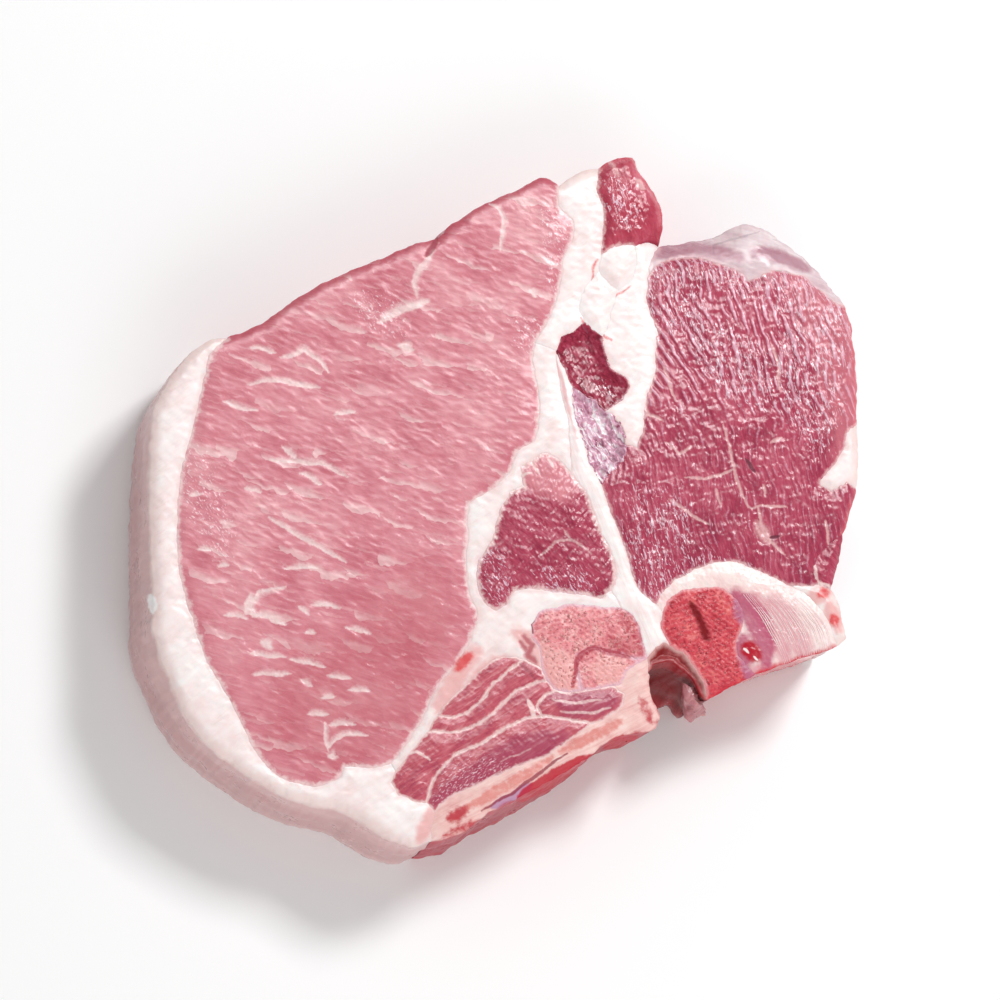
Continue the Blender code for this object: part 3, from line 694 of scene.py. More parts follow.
def bundle_ridges(points: Array) -> Array:
    """The tenderloin's ridges: bundles cut across, about 2 mm apart, that lean and fade over the face.

    Args:
        points: places over the plan.

    Returns:
        A height for each, about -1 to 1.
    """
    wander = 0.9 * ripple(points, 16, 21) + 0.14 * ripple(points, 4, 22)
    steep, slant, upright = (
        np.sin((across(points, angle) + wander) * 2 * math.pi / apart) for angle, apart in BUNDLES
    )
    high = smooth_step(points[:, 1], 8, 28)
    left = smooth_step(points[:, 0], 50, 40) * smooth_step(points[:, 1], 48, 40)
    ridges = steep * high * (1 - left) + slant * high * left + upright * (1 - high) * 0.5
    return ridges * smooth_step(ripple(points, 5.5, 23), -0.9, 0.3)


def relief_height(kind: Relief, points: Array, fat: Array, edge: Array) -> Array:
    """The fine height of a cut face over its smooth form.

    Args:
        kind: the kind of unevenness.
        points: places over the plan.
        fat: the mask of fat marks at each, which lie a little lower than muscle.
        edge: how far each is from the piece's edge.

    Returns:
        One height for each.
    """
    height = LUMP_SHARES.get(kind, 1.0) * bumps(points, LUMPS) + bumps(points, BUMPS.get(kind, ()))
    if kind is Relief.LOIN:
        rough = smooth_step(ripple(points, 16, 13), -0.2, 0.8)
        height += 0.025 * ripple(combed(points, -18, 3.2, 0.8), 2.6, 14) + 0.025 * ripple(points, 1.1, 15) * rough
        height -= 0.06 * fat
    elif kind is Relief.RIDGES:
        height += 0.14 * bundle_ridges(points) - 0.05 * fat
    elif kind is Relief.STRANDS:
        height += 0.045 * ripple(combed(points, 33, 2.4, 0.5), 2.4, 41)
    elif kind is Relief.CRUMPLED:
        for depth, length, seed in ((0.28, 3.4, 55), (0.12, 1.5, 56)):
            height += depth * (1 - np.abs(ripple(points, length, seed)) * 2)
    elif kind is Relief.SPONGE:
        height -= 0.2 * smooth_step(ripple(points, 1.25, 61, 14), 0.25, 0.9) * smooth_step(edge, 0.3, 1.0)
    return height


@dataclass
class Sheet:
    """The points of a piece's cut face or back face: its edge, then those inside, and each one's masks."""

    edge: Array
    inner: Array
    masks: dict[Paint, Array]

    @property
    def plan(self) -> Array:
        """All of its points."""
        return np.vstack([self.edge, self.inner])


class Slab:
    """One dressed piece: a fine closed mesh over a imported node's outline, with the masks that its material reads."""

    def __init__(self, dressing: Dressing) -> None:
        """Takes what to dress, and its outline grown over the seams.

        Args:
            dressing: how the node is dressed.
        """
        self.dressing = dressing
        self.outline = grown(FACE.outlines[dressing.node])
        self.shared = self.outline.sides(rim=False)
        self.rim = self.outline.sides(rim=True)

    def depths(self, points: Array) -> tuple[Array, Array]:
        """How deep points are inside the seams, negative where they run under a neighbour, and how far from the rim."""
        return distance_to_sides(points, *self.shared) - OVERLAP, distance_to_sides(points, *self.rim)

    def masks(self, points: Array) -> dict[Paint, Array]:
        """The painted marks at each point.

        Args:
            points: places over the plan.

        Returns:
            A mask from 0 to 1 for each kind of paint.
        """
        found = {paint: np.zeros(len(points)) for paint in Paint}
        for marks in self.dressing.marks:
            marks.lay(points, found[marks.paint])
        return found

    def sheet(self, loop: Array, rough: Array, spacing: float, seed: int) -> Sheet:
        """The points inside a loop, with its own: see spread_points."""
        inner = spread_points(loop, rough, spacing, seed)
        return Sheet(loop, inner, self.masks(np.vstack([loop, inner])))

    def top_height(self, points: Array, masks: dict[Paint, Array]) -> Array:
        """The dressed face's height.

        Args:
            points: places over the plan.
            masks: the marks at each.

        Returns:
            One height for each.
        """
        seam, rim = self.depths(points)
        depth = np.maximum(np.minimum(seam, rim), 0)
        rise = self.dressing.crown * (1 - np.exp(-((depth / CROWN_REACH) ** CROWN_POWER)))
        rise -= self.dressing.crease * np.exp(-np.abs(seam) / CREASE_REACH)
        relief = relief_height(self.dressing.relief, points, masks[FAT], depth) * self.dressing.lumps
        relief *= smooth_step(rim, -0.1, 0.8)
        relief -= SLIT_DEPTH * masks[SHADE]
        height = FACE.height(points) + rise + relief - DIVE_SLOPE * np.maximum(-seam, 0)
        return np.minimum(height, CAD_TOP - TOP_MARGIN)

    def foot_height(self, points: Array) -> Array:
        """The back face's height: flat, but for the crease along each seam."""
        seam, _ = self.depths(points)
        depth, reach = FOOT_CREASE
        return depth * np.exp(-np.maximum(seam, 0) / reach) + DIVE_SLOPE * np.maximum(-seam, 0)

    def wall_points(self, columns: Array, nearness: Array, top: Array, foot: Array) -> list[Array]:
        """The upright columns, with as many points as each needs.

        Args:
            columns: the fine outline's columns, as the solid has them.
            nearness: 1 for those on the rim, falling to 0 along a side that leaves it.
            top: each column's height at the cut face.
            foot: its height at the back face.

        Returns:
            The points of each column, from the foot up.
        """
        least, most = WALL_ROWS
        shares = np.linspace(0, 1, max(least, round(most / COARSE)))
        loop = columns[:, -1, :2]
        outward = outward_of(ahead_of(loop) - np.roll(loop, 1, axis=0))
        seam, _ = self.depths(loop)
        depth, reach = WALL_GROOVE
        groove = np.where(seam > 0, depth * np.exp(-np.maximum(seam, 0) / reach), depth - DIVE_SLOPE * seam)
        fade = np.minimum(1, 6 * np.minimum(shares + 0.1, 1.1 - shares))
        window = np.sin(math.pi * shares) ** 0.5
        rim_columns = np.flatnonzero(nearness == 1)
        found = []
        for i, column in enumerate(columns):
            if not nearness[i]:
                found.append(np.array([[*column[0, :2], foot[i]], [*column[-1, :2], top[i]]]))
                continue
            x, y = (np.interp(shares, WALL_SHARES, column[:, axis]) for axis in (0, 1))
            z = foot[i] + shares * (top[i] - foot[i])
            owner = rim_columns[np.linalg.norm(loop[rim_columns] - loop[i], axis=1).argmin()]
            # Strands lie along the wall, so their ripples are drawn out round it.
            strands = 0.22 * ripple(np.column_stack([x / 6, y / 6, z]), 5.0, 81)
            strands += 0.08 * ripple(np.column_stack([x / 2.5, y / 2.5, z]), 1.6, 82)
            shift = ((strands - 0.25) * window - groove[owner] * fade) * nearness[i] ** 2
            found.append(np.column_stack([x + outward[owner, 0] * shift, y + outward[owner, 1] * shift, z]))
        return found

    def build(self) -> Piece:
        """Builds the piece's object, undressed."""
        spacing = self.dressing.spacing * COARSE
        columns, nearness = refined(self.outline.columns, self.outline.on_rim, spacing * 1.15)
        seed = sum(map(ord, self.dressing.node))
        rough = self.outline.columns[:, :, :2]
        foot_spacing = max(0.65, 1.8 * self.dressing.spacing) * COARSE
        top = self.sheet(columns[:, -1, :2], rough[:, -1], spacing, seed)
        foot = self.sheet(columns[:, 0, :2], rough[:, 0], foot_spacing, seed + 1)
        top_z, foot_z = self.top_height(top.plan, top.masks), self.foot_height(foot.plan)
        count = len(columns)
        walls = self.wall_points(columns, nearness, top_z[:count], foot_z[:count])
        starts = np.concatenate([[0], np.cumsum([len(wall) for wall in walls])])
        lows, highs = starts[:-1], starts[1:] - 1
        vertices = np.vstack([
            *walls,
            np.column_stack([top.inner, top_z[count:]]),
            np.column_stack([foot.inner, foot_z[count:]]),
        ])
        top_index = np.concatenate([highs, starts[-1] + np.arange(len(top.inner))])
        foot_index = np.concatenate([lows, starts[-1] + len(top.inner) + np.arange(len(foot.inner))])
        faces = [
            top_index[triangles_inside(top.edge, top.inner)],
            foot_index[triangles_inside(foot.edge, foot.inner)][:, ::-1],
            np.array(self.wall_faces(lows, highs)),
        ]
        low, high = (np.array(corner) / MM for corner in CAD_BOX)
        piece = mesh_object(f"{self.dressing.node}_dressed", np.clip(ragged(vertices), low, high), np.vstack(faces))
        self.write_attributes(piece, walls, nearness, top, foot)
        return piece

    @staticmethod
    def wall_faces(lows: Array, highs: Array) -> list[tuple[int, int, int]]:
        """Triangles between neighbouring columns, which may differ in their number of points.

        Args:
            lows: the place of each column's lowest point in the mesh.
            highs: the place of its highest.

        Returns:
            The triangles, facing outwards.
        """
        columns = [list(range(low, high + 1)) for low, high in zip(lows, highs)]
        faces = []
        for here, there in zip(columns, columns[1:] + columns[:1]):
            if len(here) == len(there):
                for a, b, c, d in zip(here, here[1:], there[1:], there):
                    faces += [(a, d, c), (a, c, b)]
            elif len(here) > len(there):
                faces += [(a, there[0], b) for a, b in zip(here, here[1:])]
                faces.append((here[-1], there[0], there[-1]))
            else:
                faces += [(here[0], a, b) for a, b in zip(there, there[1:])]
                faces.append((here[0], there[-1], here[-1]))
        return faces

    def write_attributes(
        self, piece: Piece, walls: list[Array], nearness: Array, top: Sheet, foot: Sheet,
    ) -> None:
        """Writes the masks and distances onto the mesh's points. A rim wall takes its marks along the lines of sight.

        Args:
            piece: the object to write on.
            walls: its upright columns, whose points come first in the mesh.
            nearness: how near each is to the rim, from 0 to 1.
            top: the cut face's points, of which those inside come next.
            foot: the back face's points, of which those inside come last.
        """
        wall_points = np.vstack(walls)
        count = len(walls)
        sight_masks = self.masks(VIEW.through(wall_points))
        owner = np.repeat(np.arange(count), [len(wall) for wall in walls])
        share = np.concatenate([np.linspace(0, 1, len(wall)) for wall in walls])
        plan = np.vstack([top.edge[owner], top.inner, foot.inner])
        seam, rim = self.depths(plan)
        fringe = FACE.distance_to(plan, self.dressing.fringe_from) - SEAM_GAP / 2
        inward = np.minimum(share, 1 - share) * THICKNESS
        on_wall = nearness[owner] > 0
        rim[: len(wall_points)] = np.where(on_wall, -inward, rim[: len(wall_points)])
        values = {"seam": seam, "rim": rim, "fringe": fringe}
        # The ridges' height, by which the material paints a highlight on their crests.
        if self.dressing.relief is Relief.RIDGES:
            values["ridge"] = bundle_ridges(plan)
        for paint in Paint:
            above, below = top.masks[paint], foot.masks[paint]
            edge = np.where(share > 0.5, above[:count][owner], below[:count][owner])
            edge = np.where(on_wall, sight_masks[paint], edge)
            values[paint] = np.concatenate([edge, above[count:], below[count:]])
        for name, numbers in values.items():
            write_number(piece, name, numbers)


def write_number(piece: Piece, name: str, numbers: Array) -> None:
    """Writes a named number onto each point of a piece's mesh."""
    attribute = piece.data.attributes.new(name, "FLOAT", "POINT")
    attribute.data.foreach_set("value", numbers.astype(np.float32))


def mesh_object(name: str, vertices: Array, faces: Array) -> Piece:
    """A smooth-shaded mesh object at the origin.

    Args:
        name: its name.
        vertices: its points in mm.
        faces: three corners' places for each triangle.

    Returns:
        The object, in the scene.
    """
    mesh = bpy.data.meshes.new(name)
    mesh.vertices.add(len(vertices))
    mesh.vertices.foreach_set("co", (vertices * MM).astype(np.float32).ravel())
    mesh.loops.add(faces.size)
    mesh.loops.foreach_set("vertex_index", faces.astype(np.int32).ravel())
    mesh.polygons.add(len(faces))
    mesh.polygons.foreach_set("loop_start", np.arange(0, faces.size, 3, dtype=np.int32))
    mesh.update(calc_edges=True)
    mesh.validate()
    mesh.shade_smooth()
    piece = bpy.data.objects.new(name, mesh)
    bpy.context.scene.collection.objects.link(piece)
    return piece


def add(
    tree: bpy.types.NodeTree, kind: str, inputs: dict[int | str, object] | None = None,
    out: int | str = 0, **settings: object,
) -> Socket:
    """Adds a node with its settings, and sets or links its inputs.

    Args:
        tree: the node tree.
        kind: the node's type.
        inputs: a value, or a socket to link, for each input's place or name.
        out: the place or name of the output that is wanted.
        settings: the node's own properties.

    Returns:
        That output's socket.
    """
    node = tree.nodes.new(kind)
    for name, value in settings.items():
        setattr(node, name, value)
    for key, value in (inputs or {}).items():
        if isinstance(value, Socket):
            tree.links.new(value, node.inputs[key])
        else:
            node.inputs[key].default_value = value
    return node.outputs[out]


@dataclass(frozen=True)
class Layer:
    """A colour laid over the body where an attribute runs from low to high, with a ragged edge.

    Ragged is how many of the attribute's own units the edge wanders, and grit the size
    of its wander in mm.
    """

    attribute: str
    colour: str
    low: float
    high: float
    ragged: float
    grit: float
    strength: float


@dataclass(frozen=True)
class Pores:
    """Holes in sawn bone: their size in mm, their colour, how full they are and how deep."""

    size: float
    colour: str
    fill: float
    depth: float


@dataclass(frozen=True)
class Lobes:
    """Bundles that overlap like scales: length and height in mm, and how their pale and deep ends show."""

    size: tuple[float, float]
    pale: str
    deep: str
    pale_strength: float
    deep_strength: float
    patch: float


@dataclass(frozen=True)
class Sheen:
    """The wet surface: roughness where dull and where glossy, the fine fibres that glint, in mm, and the film's mirror.

    The glint is a painted highlight: a pale colour laid on the fibres' crests where the surface is glossy.
    """

    dull: float
    glossy: float
    fibre: tuple[float, float]
    fibre_angle: float
    fibre_depth: float
    least: float
    mirror: float = 0.5
    glint: str = ""


@dataclass(frozen=True)
class Finish:
    """A real surface: its colours from deep to pale, the sizes of its pattern in mm, and its sheen.

    A layered one has its grain along its outer side too. Scatter is how much light goes
    through the surface, and scatter_reach how far, in mm.
    """

    deep: str
    body: str
    pale: str
    patch: float
    grain: tuple[float, float]
    angle: float
    grain_strength: float
    sheen: Sheen
    lobes: tuple[Lobes, ...] = ()
    pores: tuple[Pores, ...] = ()
    layers: tuple[Layer, ...] = ()
    scatter: float = 0.12
    scatter_reach: float = 1.2
    layered: bool = False


# A sheen's last colour, where it has one, is the painted highlight on its fibres' crests.
FINISHES: dict[str, Finish] = {
    # Pale loin muscle, knife cut and wet: bundles that overlap like scales, with fine fat in their gaps.
    "wet_loin_muscle": Finish(
        deep="C66A78", body="D98893", pale="E7A6AC", patch=13.0, grain=(5.0, 0.8), angle=-16, grain_strength=0.3,
        lobes=(
            Lobes((9.0, 4.4), "F5D8D6", "C76B79", 0.5, 0.3, 20.0),
            Lobes((4.2, 1.5), "F3CCCB", "CC7482", 0.24, 0.16, 11.0),
        ),
        layers=(
            Layer(TINT, "C4636F", 0.1, 0.9, 0.3, 5.0, 0.5),
            Layer("rim", "B84A5A", 1.9, 0.3, 0.9, 3.0, 0.75),
            Layer("fringe", "F6DAD8", 1.1, 0.0, 1.3, 1.2, 0.8),
            Layer(FAT, "F8E4E1", 0.1, 1.0, 0.35, 0.6, 0.8),
            Layer(BLOOD, "E0343C", 0.2, 0.8, 0.3, 0.8, 0.9),
            Layer(SHADE, "9C3244", 0.2, 0.9, 0.2, 0.8, 0.8),
        ),
        sheen=Sheen(0.34, 0.14, (0.36, 0.9), -50, 0.06, 0.3, 0.42, "F8DFE4"),
    ),

    # Red tenderloin muscle, knife cut and wet: long ridges of bundles about 2 mm apart.
    "wet_red_muscle": Finish(
        deep="902A46", body="AE3E58", pale="CA667A", patch=9.0, grain=(3.4, 0.8), angle=-76, grain_strength=0.5,
        lobes=(Lobes((3.6, 1.3), "DC98A2", "98304A", 0.15, 0.25, 12.0),),
        layers=(
            Layer(TINT, "E08A94", 0.1, 0.9, 0.5, 3.0, 0.5),
            # Pale lilac along the ridges' crests: a painted highlight.
            Layer("ridge", "E8B8CA", 0.15, 0.85, 0.5, 0.6, 0.65),
            Layer("rim", "D8646E", 1.6, 0.0, 0.8, 3.0, 0.6),
            Layer("fringe", "EFC4C4", 0.8, 0.0, 0.9, 1.0, 0.7),
            Layer(FAT, "EFC4C2", 0.1, 1.0, 0.4, 0.5, 0.75),
            Layer(SHADE, "641830", 0.2, 0.8, 0.2, 0.8, 0.85),
        ),
        sheen=Sheen(0.27, 0.1, (0.38, 1.5), -74, 0.13, 0.2, 0.5, "EED4E0"),
    ),

    # Dark red muscle beside the bones, knife cut and wet.
    "wet_deep_muscle": Finish(
        deep="902844", body="B0425A", pale="C86C80", patch=7.0, grain=(2.6, 0.7), angle=-35, grain_strength=0.5,
        lobes=(Lobes((3.4, 1.4), "D48894", "8A2440", 0.18, 0.25, 9.0),),
        layers=(
            Layer(TINT, "DC8C96", 0.1, 0.9, 0.3, 1.5, 0.9),
            Layer("fringe", "F4D4D2", 1.2, 0.1, 1.3, 0.9, 0.85),
            Layer(FAT, "F4D8D4", 0.1, 1.0, 0.4, 0.5, 0.85),
        ),
        sheen=Sheen(0.29, 0.12, (0.42, 1.3), -55, 0.1, 0.3, 0.45, "E8C8D8"),
    ),
    # Side muscles along the spinous process, with thin white seams where two strands meet.
    "wet_strand_muscle": Finish(
        deep="AA4258", body="C45C6A", pale="D8828C", patch=5.0, grain=(3.4, 0.6), angle=33, grain_strength=0.5,
        lobes=(Lobes((4.4, 1.3), "E8AEB0", "B04058", 0.35, 0.4, 8.0),),
        layers=(
            Layer(TINT, "A23C5C", 0.1, 0.9, 0.4, 1.5, 0.65),
            Layer("rim", "C05A68", 1.8, 0.2, 0.8, 3.0, 0.6),
            Layer("seam", "F4D2CE", 0.6, 0.05, 0.5, 0.9, 0.9),
            Layer(FAT, "F8DCD8", 0.1, 1.0, 0.3, 0.5, 0.85),
            Layer(SHADE, "7C1C34", 0.2, 0.8, 0.2, 0.8, 0.85),
        ),
        sheen=Sheen(0.34, 0.16, (0.3, 0.9), 38, 0.08, 0.4, 0.42, "ECC4CE"),
    ),
    # Flap of flank muscle, cut and wet: smooth and clear red, with a lilac glint where it stands up, in part a painted
    # highlight.
    "wet_flap_muscle": Finish(
        deep="A42E46", body="BA465A", pale="D07082", patch=8.0, grain=(3.0, 1.3), angle=-70, grain_strength=0.4,
        layers=(
            Layer("rim", "D04C5C", 2.0, 0.0, 0.8, 3.0, 0.6),
            Layer("fringe", "F0CCCA", 0.8, 0.0, 0.9, 1.0, 0.7),
            Layer(FAT, "F0C8C6", 0.1, 1.0, 0.4, 0.5, 0.75),
            Layer(SHADE, "8C2036", 0.2, 0.8, 0.2, 0.8, 0.85),
        ),
        sheen=Sheen(0.32, 0.12, (0.5, 1.3), -75, 0.1, 0.1, 0.5, "EED4E0"),
    ),
    # Nearly black-purple wet muscle, sunk between the fat.
    "wet_dark_muscle": Finish(
        deep="6E142C", body="98263F", pale="BA4A64", patch=4.0, grain=(1.4, 0.9), angle=-50, grain_strength=0.6,
        lobes=(Lobes((2.8, 1.6), "C87890", "701430", 0.2, 0.5, 7.0),),
        layers=(
            Layer("fringe", "E4A8B0", 0.6, 0.0, 0.5, 0.8, 0.6),
            Layer(FAT, "F2DCE0", 0.15, 0.85, 0.3, 0.6, 0.85),
        ),
        sheen=Sheen(0.28, 0.12, (0.6, 1.3), -60, 0.06, 0.2, 0.45, "EED4E0"),
    ),
    # Silvery skin, crumpled and wet, over purple muscle. Its whites are partly painted highlight.
    "silver_skin_and_painted_highlights": Finish(
        # The light body, the pale end and the white scales are partly silvery skin and partly painted highlight; the
        # deep colours are the purple muscle.
        deep="8C2850", body="DCA6BC", pale="FFF6FA", patch=3.0, grain=(2.2, 1.1), angle=-60, grain_strength=0.6,
        lobes=(Lobes((3.4, 1.8), "FFFAFC", "741C42", 0.9, 0.5, 5.0),),
        layers=(Layer("fringe", "E0A8BC", 0.6, 0.0, 0.5, 0.8, 0.6),),
        sheen=Sheen(0.16, 0.07, (0.7, 1.8), -60, 0.16, 0.6, 0.5, "FFFAFC"),
    ),

    # Back fat, cut: firm, white and waxy, pink where it meets muscle. Its wall turns mauve and darker away from the cut
    # face.
    "cut_fat": Finish(
        deep="F0D8D6", body="F8E9E7", pale="FEF8F6", patch=9.0, grain=(8.0, 1.8), angle=35, grain_strength=0.35,
        layers=(
            Layer("fringe", "F2CCCA", 1.2, 0.0, 1.1, 1.8, 0.5),
            Layer("rim", "EED6D2", 2.6, 0.4, 1.0, 4.0, 0.8),
            Layer("rim", "D2A8A8", 0.5, -1.4, 1.2, 4.0, 0.85),
            Layer("rim", "BE8E90", -3.0, -8.0, 5.0, 5.0, 0.5),
            Layer(TINT, "EAAAA8", 0.1, 0.9, 0.3, 1.5, 0.8),
            Layer(BLOOD, "DC2830", 0.2, 0.9, 0.35, 0.8, 0.9),
            Layer(SHADE, "B04050", 0.1, 0.9, 0.3, 0.8, 0.8),
            Layer(FAT, "FFFCFA", 0.2, 0.9, 0.2, 0.8, 0.85),
        ),
        sheen=Sheen(0.4, 0.2, (2.2, 5.0), 25, 0.025, 0.8), scatter=0.2, scatter_reach=2.0, layered=True,
    ),

    # Gristly sheet over the transverse process: white and smooth, with a faint pink line.
    "smooth_gristle": Finish(
        deep="F2D8D6", body="FAECEA", pale="FEF8F6", patch=6.0, grain=(9.0, 0.8), angle=-68, grain_strength=0.5,
        layers=(
            Layer("seam", "F0C8C6", 0.5, 0.0, 0.5, 1.5, 0.6),
            Layer(TINT, "E8A4A8", 0.1, 0.9, 0.3, 1.5, 0.75),
        ),
        sheen=Sheen(0.4, 0.22, (1.2, 5.0), -68, 0.04, 0.8), scatter=0.2, scatter_reach=2.0,
    ),
    # Silvery membrane over the fat on top of the tenderloin, lilac where the muscle shows through.
    "lilac_membrane": Finish(
        deep="C8A8B2", body="DCC6CA", pale="EADEE0", patch=9.0, grain=(9.0, 1.6), angle=-15, grain_strength=0.45,
        layers=(
            # Greyer towards the rim and over the top of its wall: painted shade where the face rounds away.
            Layer("rim", "C4B0B8", 1.2, -1.5, 1.2, 5.0, 0.7),
            Layer(TINT, "A8687C", 0.1, 0.9, 0.4, 2.5, 0.8),
            Layer("seam", "E8BCBE", 1.0, 0.0, 0.8, 1.8, 0.5),
            Layer(SHADE, "8C7480", 0.1, 0.9, 0.3, 1.2, 0.7),
        ),
        sheen=Sheen(0.36, 0.2, (1.6, 5.0), -15, 0.05, 0.7), scatter=0.18, scatter_reach=1.8,
    ),
    # Spongy bone, sawn: pink struts round small pores that hold blood, with an ivory skin of hard bone.
    "spongy_bone": Finish(
        deep="C8606C", body="EA9498", pale="F6C6C2", patch=3.0, grain=(1.2, 0.9), angle=10, grain_strength=0.55,
        pores=(Pores(0.6, "B04458", 0.4, 0.06), Pores(1.5, "A83A4C", 0.3, 0.1)),
        layers=(
            Layer(TINT, "F0B2AE", 0.1, 0.9, 0.5, 1.5, 0.8),
            Layer("seam", "E8BCC8", 0.9, 0.1, 0.6, 1.2, 0.85),
            Layer(BLOOD, "AE1E38", 0.1, 0.9, 0.5, 0.9, 0.85),
            Layer(SHADE, "7C1A28", 0.2, 0.8, 0.3, 0.6, 0.9),
        ),
        sheen=Sheen(0.38, 0.22, (0.5, 0.8), 10, 0.06, 0.8, 0.3),
    ),
    # Red marrow bone of the vertebral body, sawn.
    "marrow_bone": Finish(
        deep="AC303E", body="D44C58", pale="E67C78", patch=5.0, grain=(1.5, 1.1), angle=10, grain_strength=0.55,
        pores=(Pores(0.7, "98202E", 0.4, 0.06), Pores(1.9, "941C2A", 0.26, 0.1)),
        layers=(
            Layer("seam", "E89CA0", 0.9, 0.1, 0.6, 1.2, 0.8),
            Layer("rim", "C81E30", 1.2, -0.6, 1.0, 2.0, 0.8),
            Layer("rim", "B44C54", -1.0, -4.5, 3.0, 2.5, 0.75),
            Layer(TINT, "B8708E", 0.1, 0.9, 0.4, 1.5, 0.85),
            Layer(SHADE, "7A0A16", 0.1, 0.9, 0.5, 0.6, 0.95),
        ),
        sheen=Sheen(0.34, 0.2, (0.5, 0.8), 10, 0.06, 0.8, 0.22),
    ),
    # Hard bone of the spinous process, sawn lengthwise: pinkish ivory with a red marrow line.
    "hard_bone": Finish(
        deep="E0A09E", body="F0C4BE", pale="F9DCD6", patch=6.0, grain=(7.0, 0.8), angle=29, grain_strength=0.5,
        layers=(
            Layer("seam", "F4CCC8", 0.6, 0.0, 0.6, 1.5, 0.6),
            Layer(TINT, "B888AC", 0.1, 0.9, 0.3, 1.5, 0.85),
            Layer("rim", "B8203A", 0.5, -0.6, 1.0, 3.0, 0.95),
            Layer("rim", "A8505A", -1.0, -5.0, 5.0, 2.2, 0.75),
            Layer(GLOSS, "E08078", 0.1, 0.9, 0.8, 0.9, 0.75),
            Layer(BLOOD, "BE1C34", 0.15, 0.8, 0.6, 1.1, 0.9),
            Layer(SHADE, "983044", 0.2, 0.8, 0.3, 0.6, 0.85),
        ),
        sheen=Sheen(0.38, 0.22, (0.6, 3.0), 29, 0.05, 0.8, 0.2),
    ),
    # Fibrous ring of the disc, cut: white outside, red-purple at the core, with a bright red sawn edge.
    "disc_cartilage": Finish(
        deep="F0C6C6", body="F8E0DC", pale="FCF0EC", patch=7.0, grain=(4.0, 0.9), angle=-55, grain_strength=0.35,
        layers=(
            Layer(GLOSS, "D87C8C", 0.1, 0.95, 0.3, 2.5, 0.65),
            Layer(TINT, "B83C68", 0.05, 0.95, 0.45, 1.5, 0.85),
            Layer("rim", "D02438", 1.1, -0.2, 0.9, 2.0, 0.9),
            Layer("rim", "DC9C9E", -0.8, -4.0, 3.0, 2.5, 0.75),
            Layer(BLOOD, "B81028", 0.25, 0.85, 0.25, 0.8, 0.95),
            # Near-white where the fat mask is set, which on the disc is only the painted highlights on its red core.
            Layer(FAT, "FFF4F2", 0.2, 0.8, 0.1, 0.5, 0.9),
        ),
        sheen=Sheen(0.3, 0.16, (1.0, 3.0), -60, 0.03, 0.8, 0.3), scatter=0.15,
    ),
    # One layer of the disc's ring: a white fibre, slick and slightly see-through.
    "white_fibre": Finish(
        deep="EAB4B8", body="F4D2D0", pale="FCECE8", patch=5.0, grain=(3.0, 0.8), angle=-60, grain_strength=0.4,
        sheen=Sheen(0.3, 0.2, (1.0, 3.0), -60, 0.02, 0.6), scatter=0.15,
    ),
    # Struts of spongy bone that stand in the sawn face, pale pink and wet.
    "bone_strut": Finish(
        deep="D07478", body="E29694", pale="F0B8B2", patch=2.0, grain=(1.0, 1.0), angle=0, grain_strength=0.5,
        sheen=Sheen(0.3, 0.18, (0.5, 0.5), 0, 0.02, 0.5),
    ),
    # The same struts in the vertebra's marrow bone, soaked with blood.
    "marrow_strut": Finish(
        deep="B43C48", body="D45C66", pale="EC9894", patch=2.0, grain=(1.0, 1.0), angle=0, grain_strength=0.5,
        sheen=Sheen(0.3, 0.18, (0.5, 0.5), 0, 0.02, 0.5),
    ),
    # Membrane that lines the canal, pale on its lip and brown-red inside, darker further down, partly its own colour
    # and partly painted shade.
    "canal_membrane": Finish(
        deep="701216", body="902428", pale="B85456", patch=5.0, grain=(1.5, 1.5), angle=0, grain_strength=0.5,
        layers=(
            Layer("seam", "E0B0AC", 1.1, 0.1, 0.5, 1.5, 0.8),
            Layer("rim", "A8323A", 1.0, 0.0, 0.5, 2.0, 0.7),
            # Darker down the canal's inner wall: partly the membrane's own brown-red, partly painted shade.
            Layer("rim", "7A1E22", -1.5, -6.0, 2.0, 2.5, 0.8),
        ),
        sheen=Sheen(0.32, 0.2, (1.0, 2.5), 70, 0.08, 0.7, 0.3),
    ),
    # A torn flap of tissue at the canal's foot, dusky pink.
    "torn_tissue": Finish(
        deep="94484E", body="B8747A", pale="D49C9C", patch=4.0, grain=(2.0, 1.0), angle=60, grain_strength=0.5,
        layers=(Layer("rim", "DCA8A4", 0.9, 0.0, 0.5, 1.2, 0.7),),
        sheen=Sheen(0.32, 0.18, (0.8, 2.0), 60, 0.08, 0.7),
    ),
}


# The kinds of node that are added most, and settings that many share: noise in soft patches, noise in frayed
# patches, and a soft step between two values.
MATH, VECTOR_MATH = "ShaderNodeMath", "ShaderNodeVectorMath"
NOISE, MAP_RANGE = "ShaderNodeTexNoise", "ShaderNodeMapRange"
SOFT = {"Detail": 2.0, "Roughness": 0.6}
FRAYED = {"Detail": 4.0, "Roughness": 0.6}
SMOOTH = {"interpolation_type": "SMOOTHSTEP"}

# Where the deep and the pale colour stand in the mix of patches and grain, which keeps near its middle.
GROUND_ENDS = (0.34, 0.68)
# Wet tissue bends light a little more than water, and red light goes furthest through it.
WET_IOR = 1.42
SCATTER_COLOURS = (1.0, 0.35, 0.25)
WET_PATCH = 6.0
# Where the painted highlight on the fibres' crests begins, and where it is full.
PAINTED_GLINT_FROM, PAINTED_GLINT_FULL = 0.8, 0.88


